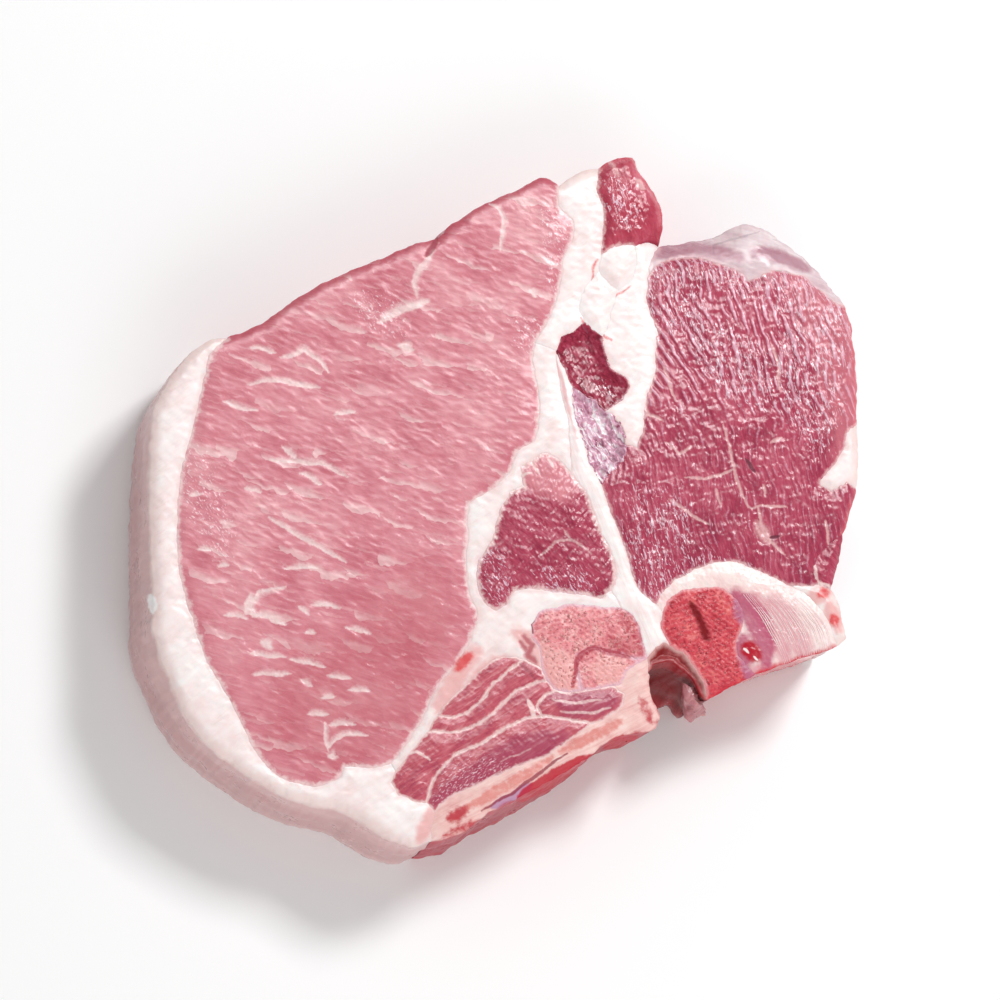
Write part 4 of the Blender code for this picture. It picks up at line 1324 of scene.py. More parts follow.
@dataclass
class MaterialMaker:
    """Builds one finish's material. Its patterns lie in object coordinates, counted in millimetres."""

    name: str
    finish: Finish
    material: Material = field(init=False)
    tree: bpy.types.NodeTree = field(init=False)
    mm: Socket = field(init=False)
    colour: Socket = field(init=False)
    grain: Socket = field(init=False)
    heights: list[tuple[Socket, float, Socket | float]] = field(default_factory=list)

    def __post_init__(self) -> None:
        """Starts the material and its millimetre coordinates."""
        self.material = bpy.data.materials.new(self.name)
        self.material.use_nodes = True
        self.tree = self.material.node_tree
        place = add(self.tree, "ShaderNodeTexCoord", out="Object")
        self.mm = add(self.tree, VECTOR_MATH, {0: place, 1: (1 / MM,) * 3}, operation="MULTIPLY")

    def along(self, angle: float, sizes: tuple[float, float, float]) -> Socket:
        """Coordinates that run along a direction.

        Args:
            angle: the direction, in degrees counter-clockwise from +X.
            sizes: how many mm count as one along it, across it and down into the piece.

        Returns:
            The coordinates' socket.
        """
        inputs = {"Vector": self.mm, "Angle": math.radians(-angle)}
        turned = add(self.tree, "ShaderNodeVectorRotate", inputs, rotation_type="Z_AXIS")
        scale = tuple(1 / size for size in sizes)
        return add(self.tree, VECTOR_MATH, {0: turned, 1: scale}, operation="MULTIPLY")

    def lay(self, colour: str, mask: Socket) -> None:
        """Lays a colour over the surface by a mask."""
        inputs = {0: mask, 6: self.colour, 7: linear(colour)}
        self.colour = add(self.tree, "ShaderNodeMix", inputs, 2, data_type="RGBA")

    def lay_ground(self) -> None:
        """Lays the ground colour, from deep to pale by large patches and the grain."""
        tree, finish = self.tree, self.finish
        length, height = finish.grain
        along = self.along(finish.angle, (length, height, height if finish.layered else length))
        patches = add(tree, NOISE, {"Vector": self.mm, "Scale": 1 / finish.patch, **FRAYED})
        inputs = {"Vector": along, "Scale": 1.0, "Detail": 3.0, "Roughness": 0.6, "Distortion": 0.6}
        self.grain = add(tree, NOISE, inputs)
        value = add(tree, "ShaderNodeMix", {0: finish.grain_strength, 2: patches, 3: self.grain})
        self.colour = add(tree, "ShaderNodeValToRGB", {0: value})
        ramp = self.colour.node.color_ramp
        for element, place, colour in zip(ramp.elements, GROUND_ENDS, (finish.deep, finish.pale)):
            element.position, element.color = place, linear(colour)
        ramp.elements.new(0.5).color = linear(finish.body)

    def lay_lobes(self, lobes: Lobes) -> None:
        """Lays scales: each cell is deep at its upper end and pale at its lower one, where it meets the next.

        Args:
            lobes: the scales.
        """
        tree = self.tree
        length, height = lobes.size
        along = self.along(self.finish.angle, (length, height, length / 0.3))
        bend = add(tree, NOISE, {"Vector": self.mm, "Scale": 1.6 / height, **SOFT}, 1)
        bent = add(tree, VECTOR_MATH, {0: bend, 1: (0.55, 0.55, 0.0), 2: along}, operation="MULTIPLY_ADD")
        cells = add(tree, "ShaderNodeTexVoronoi", {"Vector": bent, "Scale": 1.0, "Randomness": 0.95}).node.outputs
        offset = add(tree, VECTOR_MATH, {0: bent, 1: cells["Position"]}, operation="SUBTRACT")
        height_in_cell = add(tree, "ShaderNodeSeparateXYZ", {0: offset}, 1)
        chances = add(tree, "ShaderNodeSeparateXYZ", {0: cells["Color"]}).node.outputs
        patches = add(tree, NOISE, {"Vector": self.mm, "Scale": 1 / lobes.patch, **SOFT})
        likely = add(tree, MATH, {0: patches, 1: chances[0]}, operation="ADD")
        likely = add(tree, MAP_RANGE, {0: likely, 1: 0.8, 2: 1.15, 4: lobes.pale_strength}, **SMOOTH)
        lower = add(tree, MAP_RANGE, {0: height_in_cell, 1: -0.2, 2: -0.52}, **SMOOTH)
        upper = add(tree, MAP_RANGE, {0: height_in_cell, 1: -0.05, 2: 0.45, 4: lobes.deep_strength}, **SMOOTH)
        self.lay(lobes.deep, add(tree, MATH, {0: upper, 1: chances[1]}, operation="MULTIPLY"))
        self.lay(lobes.pale, add(tree, MATH, {0: lower, 1: likely}, operation="MULTIPLY"))

    def lay_pores(self, pores: Pores) -> None:
        """Lays round holes of uneven size.

        Args:
            pores: the holes.
        """
        tree = self.tree
        bend = add(tree, NOISE, {"Vector": self.mm, "Scale": 1.2 / pores.size, **SOFT}, 1)
        bent = add(tree, VECTOR_MATH, {0: bend, 1: (pores.size,) * 3, 2: self.mm}, operation="MULTIPLY_ADD")
        cells = add(tree, "ShaderNodeTexVoronoi", {"Vector": bent, "Scale": 1 / pores.size}).node.outputs
        chance = add(tree, "ShaderNodeSeparateXYZ", {0: cells["Color"]})
        shrunk = add(tree, MATH, {0: chance, 1: 0.3, 2: cells["Distance"]}, operation="MULTIPLY_ADD")
        hole = add(tree, MAP_RANGE, {0: shrunk, 1: pores.fill, 2: pores.fill * 0.4, 4: 0.75}, **SMOOTH)
        self.heights.append((hole, -pores.depth, 1.0))
        self.lay(pores.colour, hole)

    def lay_layer(self, layer: Layer) -> None:
        """Lays a colour where a mesh attribute says so.

        Args:
            layer: the colour and its attribute.
        """
        tree = self.tree
        value = add(tree, "ShaderNodeAttribute", out="Fac", attribute_name=layer.attribute)
        rough = add(tree, NOISE, {"Vector": self.mm, "Scale": 1 / layer.grit, **FRAYED})
        rough = add(tree, MATH, {0: rough, 1: 0.5}, operation="SUBTRACT")
        value = add(tree, MATH, {0: rough, 1: 2 * layer.ragged, 2: value}, operation="MULTIPLY_ADD")
        inputs = {0: value, 1: layer.low, 2: layer.high, 4: layer.strength}
        self.lay(layer.colour, add(tree, MAP_RANGE, inputs, **SMOOTH))

    def wet(self, shader: bpy.types.Node) -> None:
        """Wets the surface: its fibres stand up and glint where it is glossy, with a painted highlight laid on their
        crests, and its deep creases are dull.

        Args:
            shader: the material's shader, which takes the roughness.
        """
        tree, sheen = self.tree, self.finish.sheen
        width, length = sheen.fibre
        along = self.along(sheen.fibre_angle, (length, width, length))
        fibres = add(tree, NOISE, {"Vector": along, "Scale": 1.0, "Distortion": 0.7, **SOFT})
        marked = add(tree, "ShaderNodeAttribute", out="Fac", attribute_name=GLOSS)
        # Painted highlight: the sheen's glint colour laid on the fibres' crests where the gloss mark is set.
        if sheen.glint:
            glint_paint_mask = add(tree, MATH, {0: marked, 1: 0.25, 2: fibres}, operation="MULTIPLY_ADD")
            self.lay(sheen.glint, add(tree, MAP_RANGE, {0: glint_paint_mask, 1: PAINTED_GLINT_FROM, 2: PAINTED_GLINT_FULL, 4: 0.8}, **SMOOTH))
        patches = add(tree, NOISE, {"Vector": self.mm, "Scale": 1 / WET_PATCH, **SOFT})
        patches = add(tree, MAP_RANGE, {0: patches, 1: 0.42, 2: 0.6, 4: 0.6}, **SMOOTH)
        gloss = add(tree, MATH, {0: marked, 1: patches}, operation="MAXIMUM")
        uneven = add(tree, MATH, {0: self.grain, 1: 0.5}, operation="SUBTRACT")
        uneven = add(tree, MATH, {0: uneven, 1: 0.3, 2: sheen.dull}, operation="MULTIPLY_ADD")
        rough = add(tree, "ShaderNodeMix", {0: gloss, 2: uneven, 3: sheen.glossy})
        deep = add(tree, "ShaderNodeAttribute", out="Fac", attribute_name=SHADE)
        rough = add(tree, MATH, {0: deep, 1: 0.5, 2: rough}, operation="MULTIPLY_ADD")
        tree.links.new(rough, shader.inputs["Roughness"])
        strength = add(tree, MATH, {0: gloss, 1: 1 - sheen.least, 2: sheen.least}, operation="MULTIPLY_ADD")
        self.heights.append((fibres, sheen.fibre_depth, strength))

    def build(self) -> Material:
        """Builds the whole material."""
        finish, shader = self.finish, self.tree.nodes["Principled BSDF"]
        self.lay_ground()
        for lobes in finish.lobes:
            self.lay_lobes(lobes)
        for pores in finish.pores:
            self.lay_pores(pores)
        for layer in finish.layers:
            self.lay_layer(layer)
        self.wet(shader)
        self.tree.links.new(self.colour, shader.inputs["Base Color"])
        linked = {}
        for height, depth, strength in self.heights:
            inputs = {"Height": height, "Strength": strength, "Distance": abs(depth) * MM, **linked}
            linked = {"Normal": add(self.tree, "ShaderNodeBump", inputs, invert=depth < 0)}
        self.tree.links.new(linked["Normal"], shader.inputs["Normal"])
        set_inputs(shader, {
            "Subsurface Weight": finish.scatter,
            "Subsurface Radius": SCATTER_COLOURS,
            "Subsurface Scale": finish.scatter_reach * MM,
            "IOR": WET_IOR,
            "Specular IOR Level": finish.sheen.mirror,
        })
        return self.material


def set_inputs(shader: bpy.types.Node, values: dict[str, float | tuple[float, ...]]) -> None:
    """Sets values that are the same all over a surface on the shader's own sockets."""
    for name, value in values.items():
        shader.inputs[name].default_value = value


LOIN_STREAKS = """250,348 275,353; 280,358 292,357 305,350 310,355 320,362 328,372;
248,385 262,382 280,381 300,386 320,387;
222,402 245,410 257,411; 335,415 354,412; 270,460 302,463 322,464 348,478; 282,447 296,460; 300,473 320,484;
245,489 261,493; 190,497 200,494; 268,518 290,532 312,545 345,563; 197,550 210,551; 218,568 228,567;
285,570 300,568 318,569; 285,587 258,592 250,605 252,617 280,618; 225,616 246,619; 311,605 340,608; 298,608 308,616;
270,621 285,626; 345,628 370,634; 305,634 315,634; 250,655 285,658; 290,660 325,667; 253,675 290,675; 300,680 312,686;
328,676 350,679; 350,690 370,691; 322,698 335,697; 308,715 328,714; 330,725 355,724;
325,722 324,738 328,748 335,740 345,735 368,735; 489,205 498,210 502,220 499,250; 528,290 535,298"""
LOIN_WEDGES = "380,322 400,311 428,302; 262,642 270,648; 330,756 336,757; 250,596 246,612; 400,346 412,350"

LOIN_EYE = Dressing(
    "loin_eye", "pale_muscle", "wet_loin_muscle", Relief.LOIN, 0.4,
    fringe_from=("fat_cap", "seam_fat", "flank_fat"),
    marks=(
        Marks(FAT, LOIN_STREAKS, 0.34, 0.25, 0.8, 1.5),
        Marks(FAT, LOIN_WEDGES, 1.0, 0.7, 0.8, 1.6),
        Marks(TINT, "330,740 370,700 400,640 420,600; 300,720 360,660", 12.0, 12.0, 0.9),
        Marks(FAT, "433,250 425,262 415,275 413,285 417,297", 0.6, 0.5, 0.7, 1.2),
        Marks(SHADE, "437,238 432,248 426,256", 1.0, 0.5, 0.9),
        Marks(BLOOD, "462,660 458,668", 0.8, 1.6, 0.8),
        Marks(GLOSS, "550,215 565,255 560,300; 360,300 400,330; 190,450 220,550; 520,325 540,345", 7.0, 5.0, 0.9),
    ),
    spacing=0.34, lumps=0.75,
)
TENDERLOIN = Dressing(
    "tenderloin", "red_muscle", "wet_red_muscle", Relief.RIDGES, 0.65,
    fringe_from=("pocket_fat", "tenderloin_fat", "transverse_process", "disc", "rim_fat_patch", "end_fat"),
    marks=(
        Marks(FAT, """722,425 728,447 733,470 735,480 743,497 748,507 752,509 760,505; 757,506 762,525 766,538;
            684,478 703,480 720,476 733,470; 665,443 678,455 690,448; 760,505 772,507 787,507; 762,485 765,497;
            770,443 782,438; 715,490 720,505; 825,520 830,545; 668,500 690,515 708,525; 770,343 777,362 778,390;
            663,367 670,390 675,402; 645,400 647,415 663,422; 766,538 785,555""", 0.32, 0.3, 0.85, 0.3),
        Marks(FAT, "758,524 768,540", 1.8, 1.4, 0.7),
        Marks(TINT, "800,285 826,320 842,360 850,400 848,450", 7.0, 6.0, 0.9),
        Marks(SHADE, "745,460 750,466 755,473; 770,538 780,536", 0.5, 0.3, 1.0),
        Marks(GLOSS, """690,270 760,270 820,300 835,360; 700,330 740,370 760,400; 660,270 690,330;
            630,540 650,575 690,585 740,570; 790,330 805,380 820,440; 640,500 680,540""", 11.0, 7.0, 1.0),
    ),
    spacing=0.3,
)
PSOAS_MINOR = Dressing(
    "psoas_minor", "red_muscle", "wet_deep_muscle", Relief.GRAIN, 0.5, fringe_from=("end_fat",),
    marks=(Marks(FAT, "815,560 818,582 833,586", 0.5, 0.3, 0.8),),
)
MULTIFIDUS = Dressing(
    "multifidus", "red_muscle", "wet_deep_muscle", Relief.GRAIN, 0.6,
    fringe_from=("seam_fat", "transverse_process"),
    marks=(
        Marks(TINT, "520,470 560,475 580,470; 540,455 560,490", 7.0, 4.0, 0.9),
        Marks(FAT, "540,557 550,547 560,541 570,541 580,547 590,555; 563,532 568,538", 0.25, 0.35, 0.6, 0.3),
        Marks(FAT, """530,462 538,475; 548,458 552,470; 515,478 530,474; 560,455 566,465;
            512,490 524,486""", 0.5, 0.3, 0.8),
        Marks(GLOSS, "480,545 490,570 500,600; 545,575 590,590", 7.0, 4.0, 1.0),
    ),
)


def strand(node: str, finish: str, marks: tuple[Marks, ...]) -> Dressing:
    """One of the side muscles, which all have the same form."""
    return Dressing(node, "red_muscle", finish, Relief.STRANDS, 0.5, marks=marks, spacing=0.25)


SIDE_MUSCLES = (
    strand("side_muscle_1", "wet_strand_muscle", ()),
    strand("side_muscle_2", "wet_strand_muscle", (Marks(SHADE, "520,663 528,672 535,680", 0.4, 0.6, 0.5),)),
    strand("side_muscle_3", "wet_strand_muscle", (
        Marks(FAT, "528,700 532,710 533,718", 0.9, 0.4, 0.9),
        Marks(FAT, "408,753 418,752 430,760", 0.5, 0.3, 0.8),
    )),
    strand("side_muscle_4", "wet_strand_muscle", (
        Marks(TINT, "440,800 480,780 520,752 560,740", 4.5, 2.5, 1.0),
        Marks(FAT, "470,795 500,770; 500,762 530,750", 0.3, 0.3, 0.5),
        Marks(GLOSS, "440,800 470,780 500,768", 7.0, 4.0, 1.0),
    )),
    strand("interspinal_muscle", "wet_strand_muscle", (
        Marks(TINT, "556,698 580,706 612,700", 3.5, 3.0, 0.8),
        Marks(FAT, "552,700 575,704 600,700; 560,712 590,714 610,708; 556,690 565,694", 0.4, 0.3, 0.7),
    )),
)

FLANK_PIECES = (
    Dressing(
        "flank_muscle", "red_muscle", "wet_flap_muscle", Relief.GRAIN, 1.2, fringe_from=("flank_fat", "fat_lobule_1"),
        marks=(
            Marks(FAT, "636,182 642,190", 1.6, 0.8, 0.8),
            Marks(FAT, "610,160 613,170 616,178", 0.8, 0.7, 0.6),
            Marks(SHADE, "636,250 662,242", 1.6, 1.2, 0.8),
            Marks(GLOSS, "612,190 620,205 630,222", 5.0, 6.0, 1.0),
        ),
    ),
    Dressing(
        "dark_muscle_upper", "dark_muscle", "wet_dark_muscle", Relief.GRAIN, -0.9, fringe_from=("pocket_fat",),
        marks=(
            Marks(FAT, "574,408 582,411", 1.0, 0.8, 0.7),
            Marks(GLOSS, "600,380 612,398", 2.0, 3.5, 1.0),
        ),
        spacing=0.22, lumps=0.7,
    ),
    Dressing(
        "dark_muscle_lower", "dark_muscle", "silver_skin_and_painted_highlights", Relief.CRUMPLED, -1.3,
        marks=(Marks(GLOSS, "590,415 605,465", 7.0, 3.0, 1.0),),
        spacing=0.22,
    ),
)

JOINT_LINE = "573,686 575,672 577,660 584,652 594,648 610,651 628,658"

BONES = (
    Dressing(
        "upper_facet", "bone", "spongy_bone", Relief.SPONGE, 0.4,
        marks=(
            Marks(BLOOD, "620,612 632,625 640,650; 612,640 630,655", 3.0, 2.2, 0.55),
            Marks(BLOOD, JOINT_LINE, 0.5, 0.7, 1.0),
            Marks(TINT, "545,650 560,680 580,695; 560,655 575,675", 3.2, 2.0, 0.9),
            Marks(SHADE, "533,634 532,624 536,613 543,606 552,603", 0.3, 0.3, 0.7),
        ),
        spacing=0.23,
    ),
    Dressing(
        "lower_facet", "bone", "spongy_bone", Relief.SPONGE, 0.3,
        marks=(
            Marks(TINT, "596,668 610,675 622,685; 604,662 625,672", 3.2, 2.0, 1.0),
            Marks(BLOOD, JOINT_LINE, 0.8, 0.7, 1.0),
        ),
        spacing=0.23,
    ),
    Dressing(
        "spinous_process", "bone", "hard_bone", Relief.FAT, 0.2,
        marks=(
            Marks(GLOSS, "466,808 500,790 535,769 552,758; 560,752 590,738 620,722", 1.5, 0.9, 0.8),
            Marks(BLOOD, "450,819 465,810", 1.2, 1.6, 0.8),
            Marks(TINT, "492,807 512,798 531,785", 1.7, 0.6, 0.9),
            Marks(BLOOD, "519,799 545,784 570,770 594,757", 3.0, 0.7, 1.0),
            Marks(BLOOD, "606,748 622,741 636,737", 1.4, 0.8, 0.9),
            Marks(BLOOD, "444,836 458,830 474,823", 0.7, 1.2, 0.6),
            Marks(SHADE, "481,811 498,801 514,792 533,778 552,764 566,754", 0.5, 0.3, 0.8),
            Marks(BLOOD, "640,700 648,715 652,722", 1.0, 1.2, 0.6),
        ),
        spacing=0.25,
    ),
    Dressing(
        "vertebral_body", "marrow_bone", "marrow_bone", Relief.SPONGE, 0.3,
        marks=(
            Marks(SHADE, "692,604 696,612 699,617 703,627 707,638", 0.5, 1.3, 1.0),
            Marks(TINT, "738,600 742,620; 742,650 752,680", 1.6, 1.6, 0.8),
        ),
        spacing=0.23,
    ),
    Dressing(
        "disc", "cartilage", "disc_cartilage", Relief.LAMELLAE, 0.4,
        marks=(
            Marks(TINT, "737,595 748,606 757,620 763,640 766,662; 744,640 746,660", 3.6, 2.2, 0.95),
            Marks(GLOSS, """757,600 769,616 779,634 786,657; 770,602 786,618 798,638 804,655;
                742,674 756,678 772,671""", 2.6, 3.0, 1.0),
            Marks(BLOOD, "750,650 753,653", 2.4, 1.7, 1.0),
            # Small white marks on the red core: painted highlights.
            Marks(FAT, "744,648 748,653; 753,657 757,660", 0.3, 0.3, 0.85),
        ),
        spacing=0.2,
    ),
    Dressing("canal_lining", "membrane", "canal_membrane", Relief.MEMBRANE, -1.6, spacing=0.25),
    Dressing(
        "transverse_process", "bone", "smooth_gristle", Relief.FAT, 0.3,
        marks=(Marks(TINT, "545,335 553,355 560,375 565,395 570,415 577,440", 0.5, 0.5, 0.7),),
        spacing=0.25,
    ),
)

FAT_PIECES = (
    Dressing(
        "fat_cap", "fat", "cut_fat", Relief.FAT, 0.3, fringe_from=MUSCLES, crease=0.0,
        marks=(
            Marks(TINT, "420,838 430,820 438,805", 2.0, 1.6, 0.9),
            Marks(FAT, "151,596 153,604 152,611; 222,330 228,332 233,335", 1.4, 0.8, 1.0),
        ),
        spacing=0.3,
    ),
    Dressing(
        "seam_fat", "fat", "cut_fat", Relief.FAT, 0.2, fringe_from=MUSCLES, crease=0.0,
        marks=(
            Marks(BLOOD, "458,668 464,661 470,656", 0.7, 1.6, 1.0),
            Marks(SHADE, "524,636 532,645 527,655 536,662; 520,642 526,650", 0.5, 0.9, 0.85),
            Marks(TINT, """440,706 452,686 466,664 476,652; 518,634 534,644 536,662;
                474,684 488,671 506,662""", 1.6, 2.6, 1.0),
        ),
    ),
    Dressing(
        "flank_fat", "fat", "cut_fat", Relief.FAT, 0.2, fringe_from=MUSCLES, crease=0.0,
        marks=(Marks(BLOOD, "597,259 593,270 592,280; 580,318 584,325", 0.25, 0.5, 0.7),),
    ),
    Dressing(
        "pocket_fat", "fat", "cut_fat", Relief.FAT, 0.2, fringe_from=MUSCLES, crease=0.0,
        marks=(Marks(BLOOD, "615,296 622,293 630,286; 601,334 611,340", 0.25, 0.5, 0.7),),
    ),
    Dressing(
        "tenderloin_fat", "fat", "lilac_membrane", Relief.FAT, 0.3,
        marks=(
            Marks(TINT, "655,252 680,246 712,249 738,256", 3.2, 2.4, 0.85),
            Marks(TINT, "756,252 780,254 810,264", 1.8, 2.2, 0.95),
            Marks(SHADE, "716,252 717,241 735,236 750,233 765,226", 0.3, 0.4, 0.5),
        ),
    ),
    Dressing("rim_fat_patch", "fat", "cut_fat", Relief.FAT, 0.3, fringe_from=MUSCLES),
    Dressing(
        "end_fat", "fat", "cut_fat", Relief.FAT, 0.5,
        marks=(
            Marks(BLOOD, "820,594 827,591; 833,616 836,624", 1.6, 1.4, 0.75),
            Marks(TINT, "812,598 828,590; 830,606 838,628", 2.4, 1.8, 1.0),
        ),
    ),
    Dressing("fat_lobule_1", "fat", "cut_fat", Relief.FAT, 0.65, crease=0.0),
    Dressing("fat_lobule_2", "fat", "cut_fat", Relief.FAT, 0.55, crease=0.0),
)


def settle(piece: Piece, node: str, title: str) -> None:
    """Makes a finished piece ride on the steak and stand for its node, and reports it.

    Args:
        piece: the finished object.
        node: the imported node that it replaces.
        title: what its sub-assembly is called.
    """
    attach(piece, BODY)
    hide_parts(node)
    LOG.info("%s: %s, %d faces", title, piece.name, len(piece.data.polygons))


@dataclass
class SubAssembly:
    """A group of the steak's pieces that are dressed together."""

    title: str
    dressings: tuple[Dressing, ...]
    materials: dict[str, Material]

    def build(self) -> dict[str, Piece]:
        """Builds and dresses each piece, takes its node's place with it, and gives the pieces by their nodes."""
        made = {}
        for dressing in self.dressings:
            piece = Slab(dressing).build()
            piece.data.materials.append(self.materials[dressing.finish])
            settle(piece, dressing.node, self.title)
            made[dressing.node] = piece
        return made


@dataclass
class GrowthTree:
    """A Geometry Nodes tree that grows small repeated parts on a mesh, with its sizes as named inputs."""

    name: str
    tree: bpy.types.NodeTree = field(init=False)
    entry: bpy.types.Node = field(init=False)
    outlet: bpy.types.Node = field(init=False)

    def __post_init__(self) -> None:
        """Starts the tree with its way in and its way out."""
        self.tree = bpy.data.node_groups.new(self.name, "GeometryNodeTree")
        for way in ("INPUT", "OUTPUT"):
            self.tree.interface.new_socket("Geometry", in_out=way, socket_type="NodeSocketGeometry")
        self.entry = self.tree.nodes.new("NodeGroupInput")
        self.outlet = self.tree.nodes.new("NodeGroupOutput")

    def size(self, name: str, kind: str = "Float") -> Socket:
        """Adds a named input, and gives its socket in the tree."""
        self.tree.interface.new_socket(name, in_out="INPUT", socket_type=f"NodeSocket{kind}")
        return self.entry.outputs[name]

    def end(self, geometry: Socket) -> None:
        """Smooths what has grown, makes it real and gives it its finish.

        Args:
            geometry: what has grown.
        """
        smooth = add(self.tree, "GeometryNodeSetShadeSmooth", {0: geometry})
        real = add(self.tree, "GeometryNodeRealizeInstances", {0: smooth})
        dressed = add(self.tree, "GeometryNodeSetMaterial", {0: real, 2: self.size("Finish", "Material")})
        self.tree.links.new(dressed, self.outlet.inputs[0])

    def grow(self, name: str, base: bpy.types.Mesh, sizes: dict[str, object]) -> Piece:
        """Runs the tree once.

        Args:
            name: the new piece's name.
            base: the mesh that the parts grow on.
            sizes: a value for each named input.

        Returns:
            What has grown, as an object with a plain mesh.
        """
        piece = bpy.data.objects.new(name, base)
        growth = piece.modifiers.new("growth", "NODES")
        growth.node_group = self.tree
        places = {item.name: item.identifier for item in self.tree.interface.items_tree if item.in_out == "INPUT"}
        for size, value in sizes.items():
            growth[places[size]] = value
        bpy.context.scene.collection.objects.link(piece)
        plain = bpy.data.meshes.new_from_object(piece.evaluated_get(bpy.context.evaluated_depsgraph_get()))
        piece.modifiers.clear()
        piece.data = plain
        return piece


@dataclass
class DiscRing:
    """The white fibres of the disc's ring, which run side by side between two lines read off the photograph.

    Sizes are in mm. Jitter is how far a fibre may stand out of its row, as a share of the
    space between two, and thin how thick a fibre's ends are against its middle.
    """

    inner: str = "743,594 754,608 765,625 775,644 787,670"
    outer: str = "803,598 818,611 830,630 835,655"
    guide_points: int = 6
    above: float = 1.0
    fibres: int = 23
    radius: float = 0.15
    sides: int = 6
    sunk: float = 0.05
    jitter: float = 0.6
    wander: float = 0.6
    waves_per_mm: float = 0.26
    thin: float = 0.55
    steps: int = 40
    seed: int = 7

    def guide(self) -> bpy.types.Mesh:
        """The inner line as a mesh of edges above the disc, which carries the way across to the outer line."""
        lines = []
        for pixels in (self.inner, self.outer):
            line = VIEW.line(pixels)
            lengths = np.concatenate([[0.0], np.cumsum(np.linalg.norm(np.diff(line, axis=0), axis=1))])
            places = np.linspace(0, lengths[-1], self.guide_points)
            lines.append(np.column_stack([np.interp(places, lengths, values) for values in line.T]))
        near, far = lines
        mesh = bpy.data.meshes.new("ring_guide")
        points = [(x * MM, y * MM, (CAD_TOP + self.above) * MM) for x, y in near]
        mesh.from_pydata(points, [(i, i + 1) for i in range(len(points) - 1)], [])
        across = mesh.attributes.new("across", "FLOAT_VECTOR", "POINT")
        across.data.foreach_set("vector", np.column_stack([(far - near) * MM, np.zeros(len(near))]).ravel())
        return mesh

    def growth(self) -> GrowthTree:
        """The tree: copies of the line are spread across, laid on the disc and made round fibres with thin ends."""
        growth = GrowthTree("disc_ring_growth")
        tree = growth.tree
        count, steps, sides, seed = (growth.size(name, "Int") for name in ("Fibres", "Steps", "Sides", "Seed"))
        radius, sunk, jitter, wander, waves, thin = (
            growth.size(name) for name in ("Radius", "Sunk", "Jitter", "Wander", "Waves", "Thin")
        )
        disc = growth.size("Disc", "Object")
        line = add(tree, "GeometryNodeMeshToCurve", {0: growth.entry.outputs[0]})
        line = add(tree, "GeometryNodeCurveSplineType", {0: line}, spline_type="CATMULL_ROM")
        line = add(tree, "GeometryNodeResampleCurve", {0: line, 2: steps})
        inputs = {0: line, 2: count}
        copies, number = add(tree, "GeometryNodeDuplicateElements", inputs, domain="SPLINE").node.outputs[:2]
        share = add(tree, "FunctionNodeRandomValue", {2: 0.0, 3: jitter, 7: number, 8: seed}, 1, data_type="FLOAT")
        share = add(tree, MATH, {0: number, 1: share}, operation="ADD")
        share = add(tree, MATH, {0: share, 1: count}, operation="DIVIDE")
        across = add(tree, "GeometryNodeInputNamedAttribute", {0: "across"}, data_type="FLOAT_VECTOR")
        shift = add(tree, VECTOR_MATH, {0: across, 3: share}, operation="SCALE")
        # Each fibre wanders in its own way, because the noise is read 2 mm further up for it.
        place = add(tree, "GeometryNodeInputPosition")
        own = add(tree, "ShaderNodeCombineXYZ", {2: number})
        own = add(tree, VECTOR_MATH, {0: own, 1: (0.0, 0.0, 2 * MM), 2: place}, operation="MULTIPLY_ADD")
        bend = add(tree, NOISE, {"Vector": own, "Scale": waves, "Detail": 2.0}, 1)
        bend = add(tree, VECTOR_MATH, {0: bend, 1: (0.5, 0.5, 0.5)}, operation="SUBTRACT")
        bend = add(tree, VECTOR_MATH, {0: bend, 3: wander}, operation="SCALE")
        shift = add(tree, VECTOR_MATH, {0: shift, 1: bend}, operation="ADD")
        fibres = add(tree, "GeometryNodeSetPosition", {0: copies, 3: shift})
        ground = add(tree, "GeometryNodeObjectInfo", {0: disc}, 4)
        inputs = {0: ground, 2: place, 3: (0.0, 0.0, -1.0), 4: 6 * MM}
        hit, spot = add(tree, "GeometryNodeRaycast", inputs).node.outputs[:2]
        missed = add(tree, MATH, {0: 1.0, 1: hit}, operation="SUBTRACT")
        fibres = add(tree, "GeometryNodeDeleteGeometry", {0: fibres, 1: missed}, domain="POINT")
        depth = add(tree, "ShaderNodeCombineXYZ", {2: sunk})
        spot = add(tree, VECTOR_MATH, {0: spot, 1: depth}, operation="SUBTRACT")
        fibres = add(tree, "GeometryNodeSetPosition", {0: fibres, 2: spot})
        girth = add(tree, "GeometryNodeSplineParameter")
        girth = add(tree, MATH, {0: girth, 1: math.pi}, operation="MULTIPLY")
        girth = add(tree, MATH, {0: girth}, operation="SINE")
        girth = add(tree, MATH, {0: girth, 1: thin}, operation="MAXIMUM")
        profile = add(tree, "GeometryNodeCurvePrimitiveCircle", {0: sides, 4: radius})
        growth.end(add(tree, "GeometryNodeCurveToMesh", {0: fibres, 1: profile, 2: girth, 3: True}))
        return growth

    def build(self, disc: Piece, finish: Material) -> None:
        """Grows the ring on the dressed disc.

        Args:
            disc: the dressed disc.
            finish: the fibres' material.
        """
        sizes = {"Fibres": self.fibres, "Steps": self.steps, "Sides": self.sides, "Seed": self.seed,
                 "Radius": self.radius * MM, "Sunk": self.sunk * MM, "Jitter": self.jitter, "Wander": self.wander * MM,
                 "Waves": self.waves_per_mm / MM, "Thin": self.thin, "Disc": disc, "Finish": finish}
        settle(self.growth().grow("disc_ring_fibres", self.guide(), sizes), "disc", "spine")


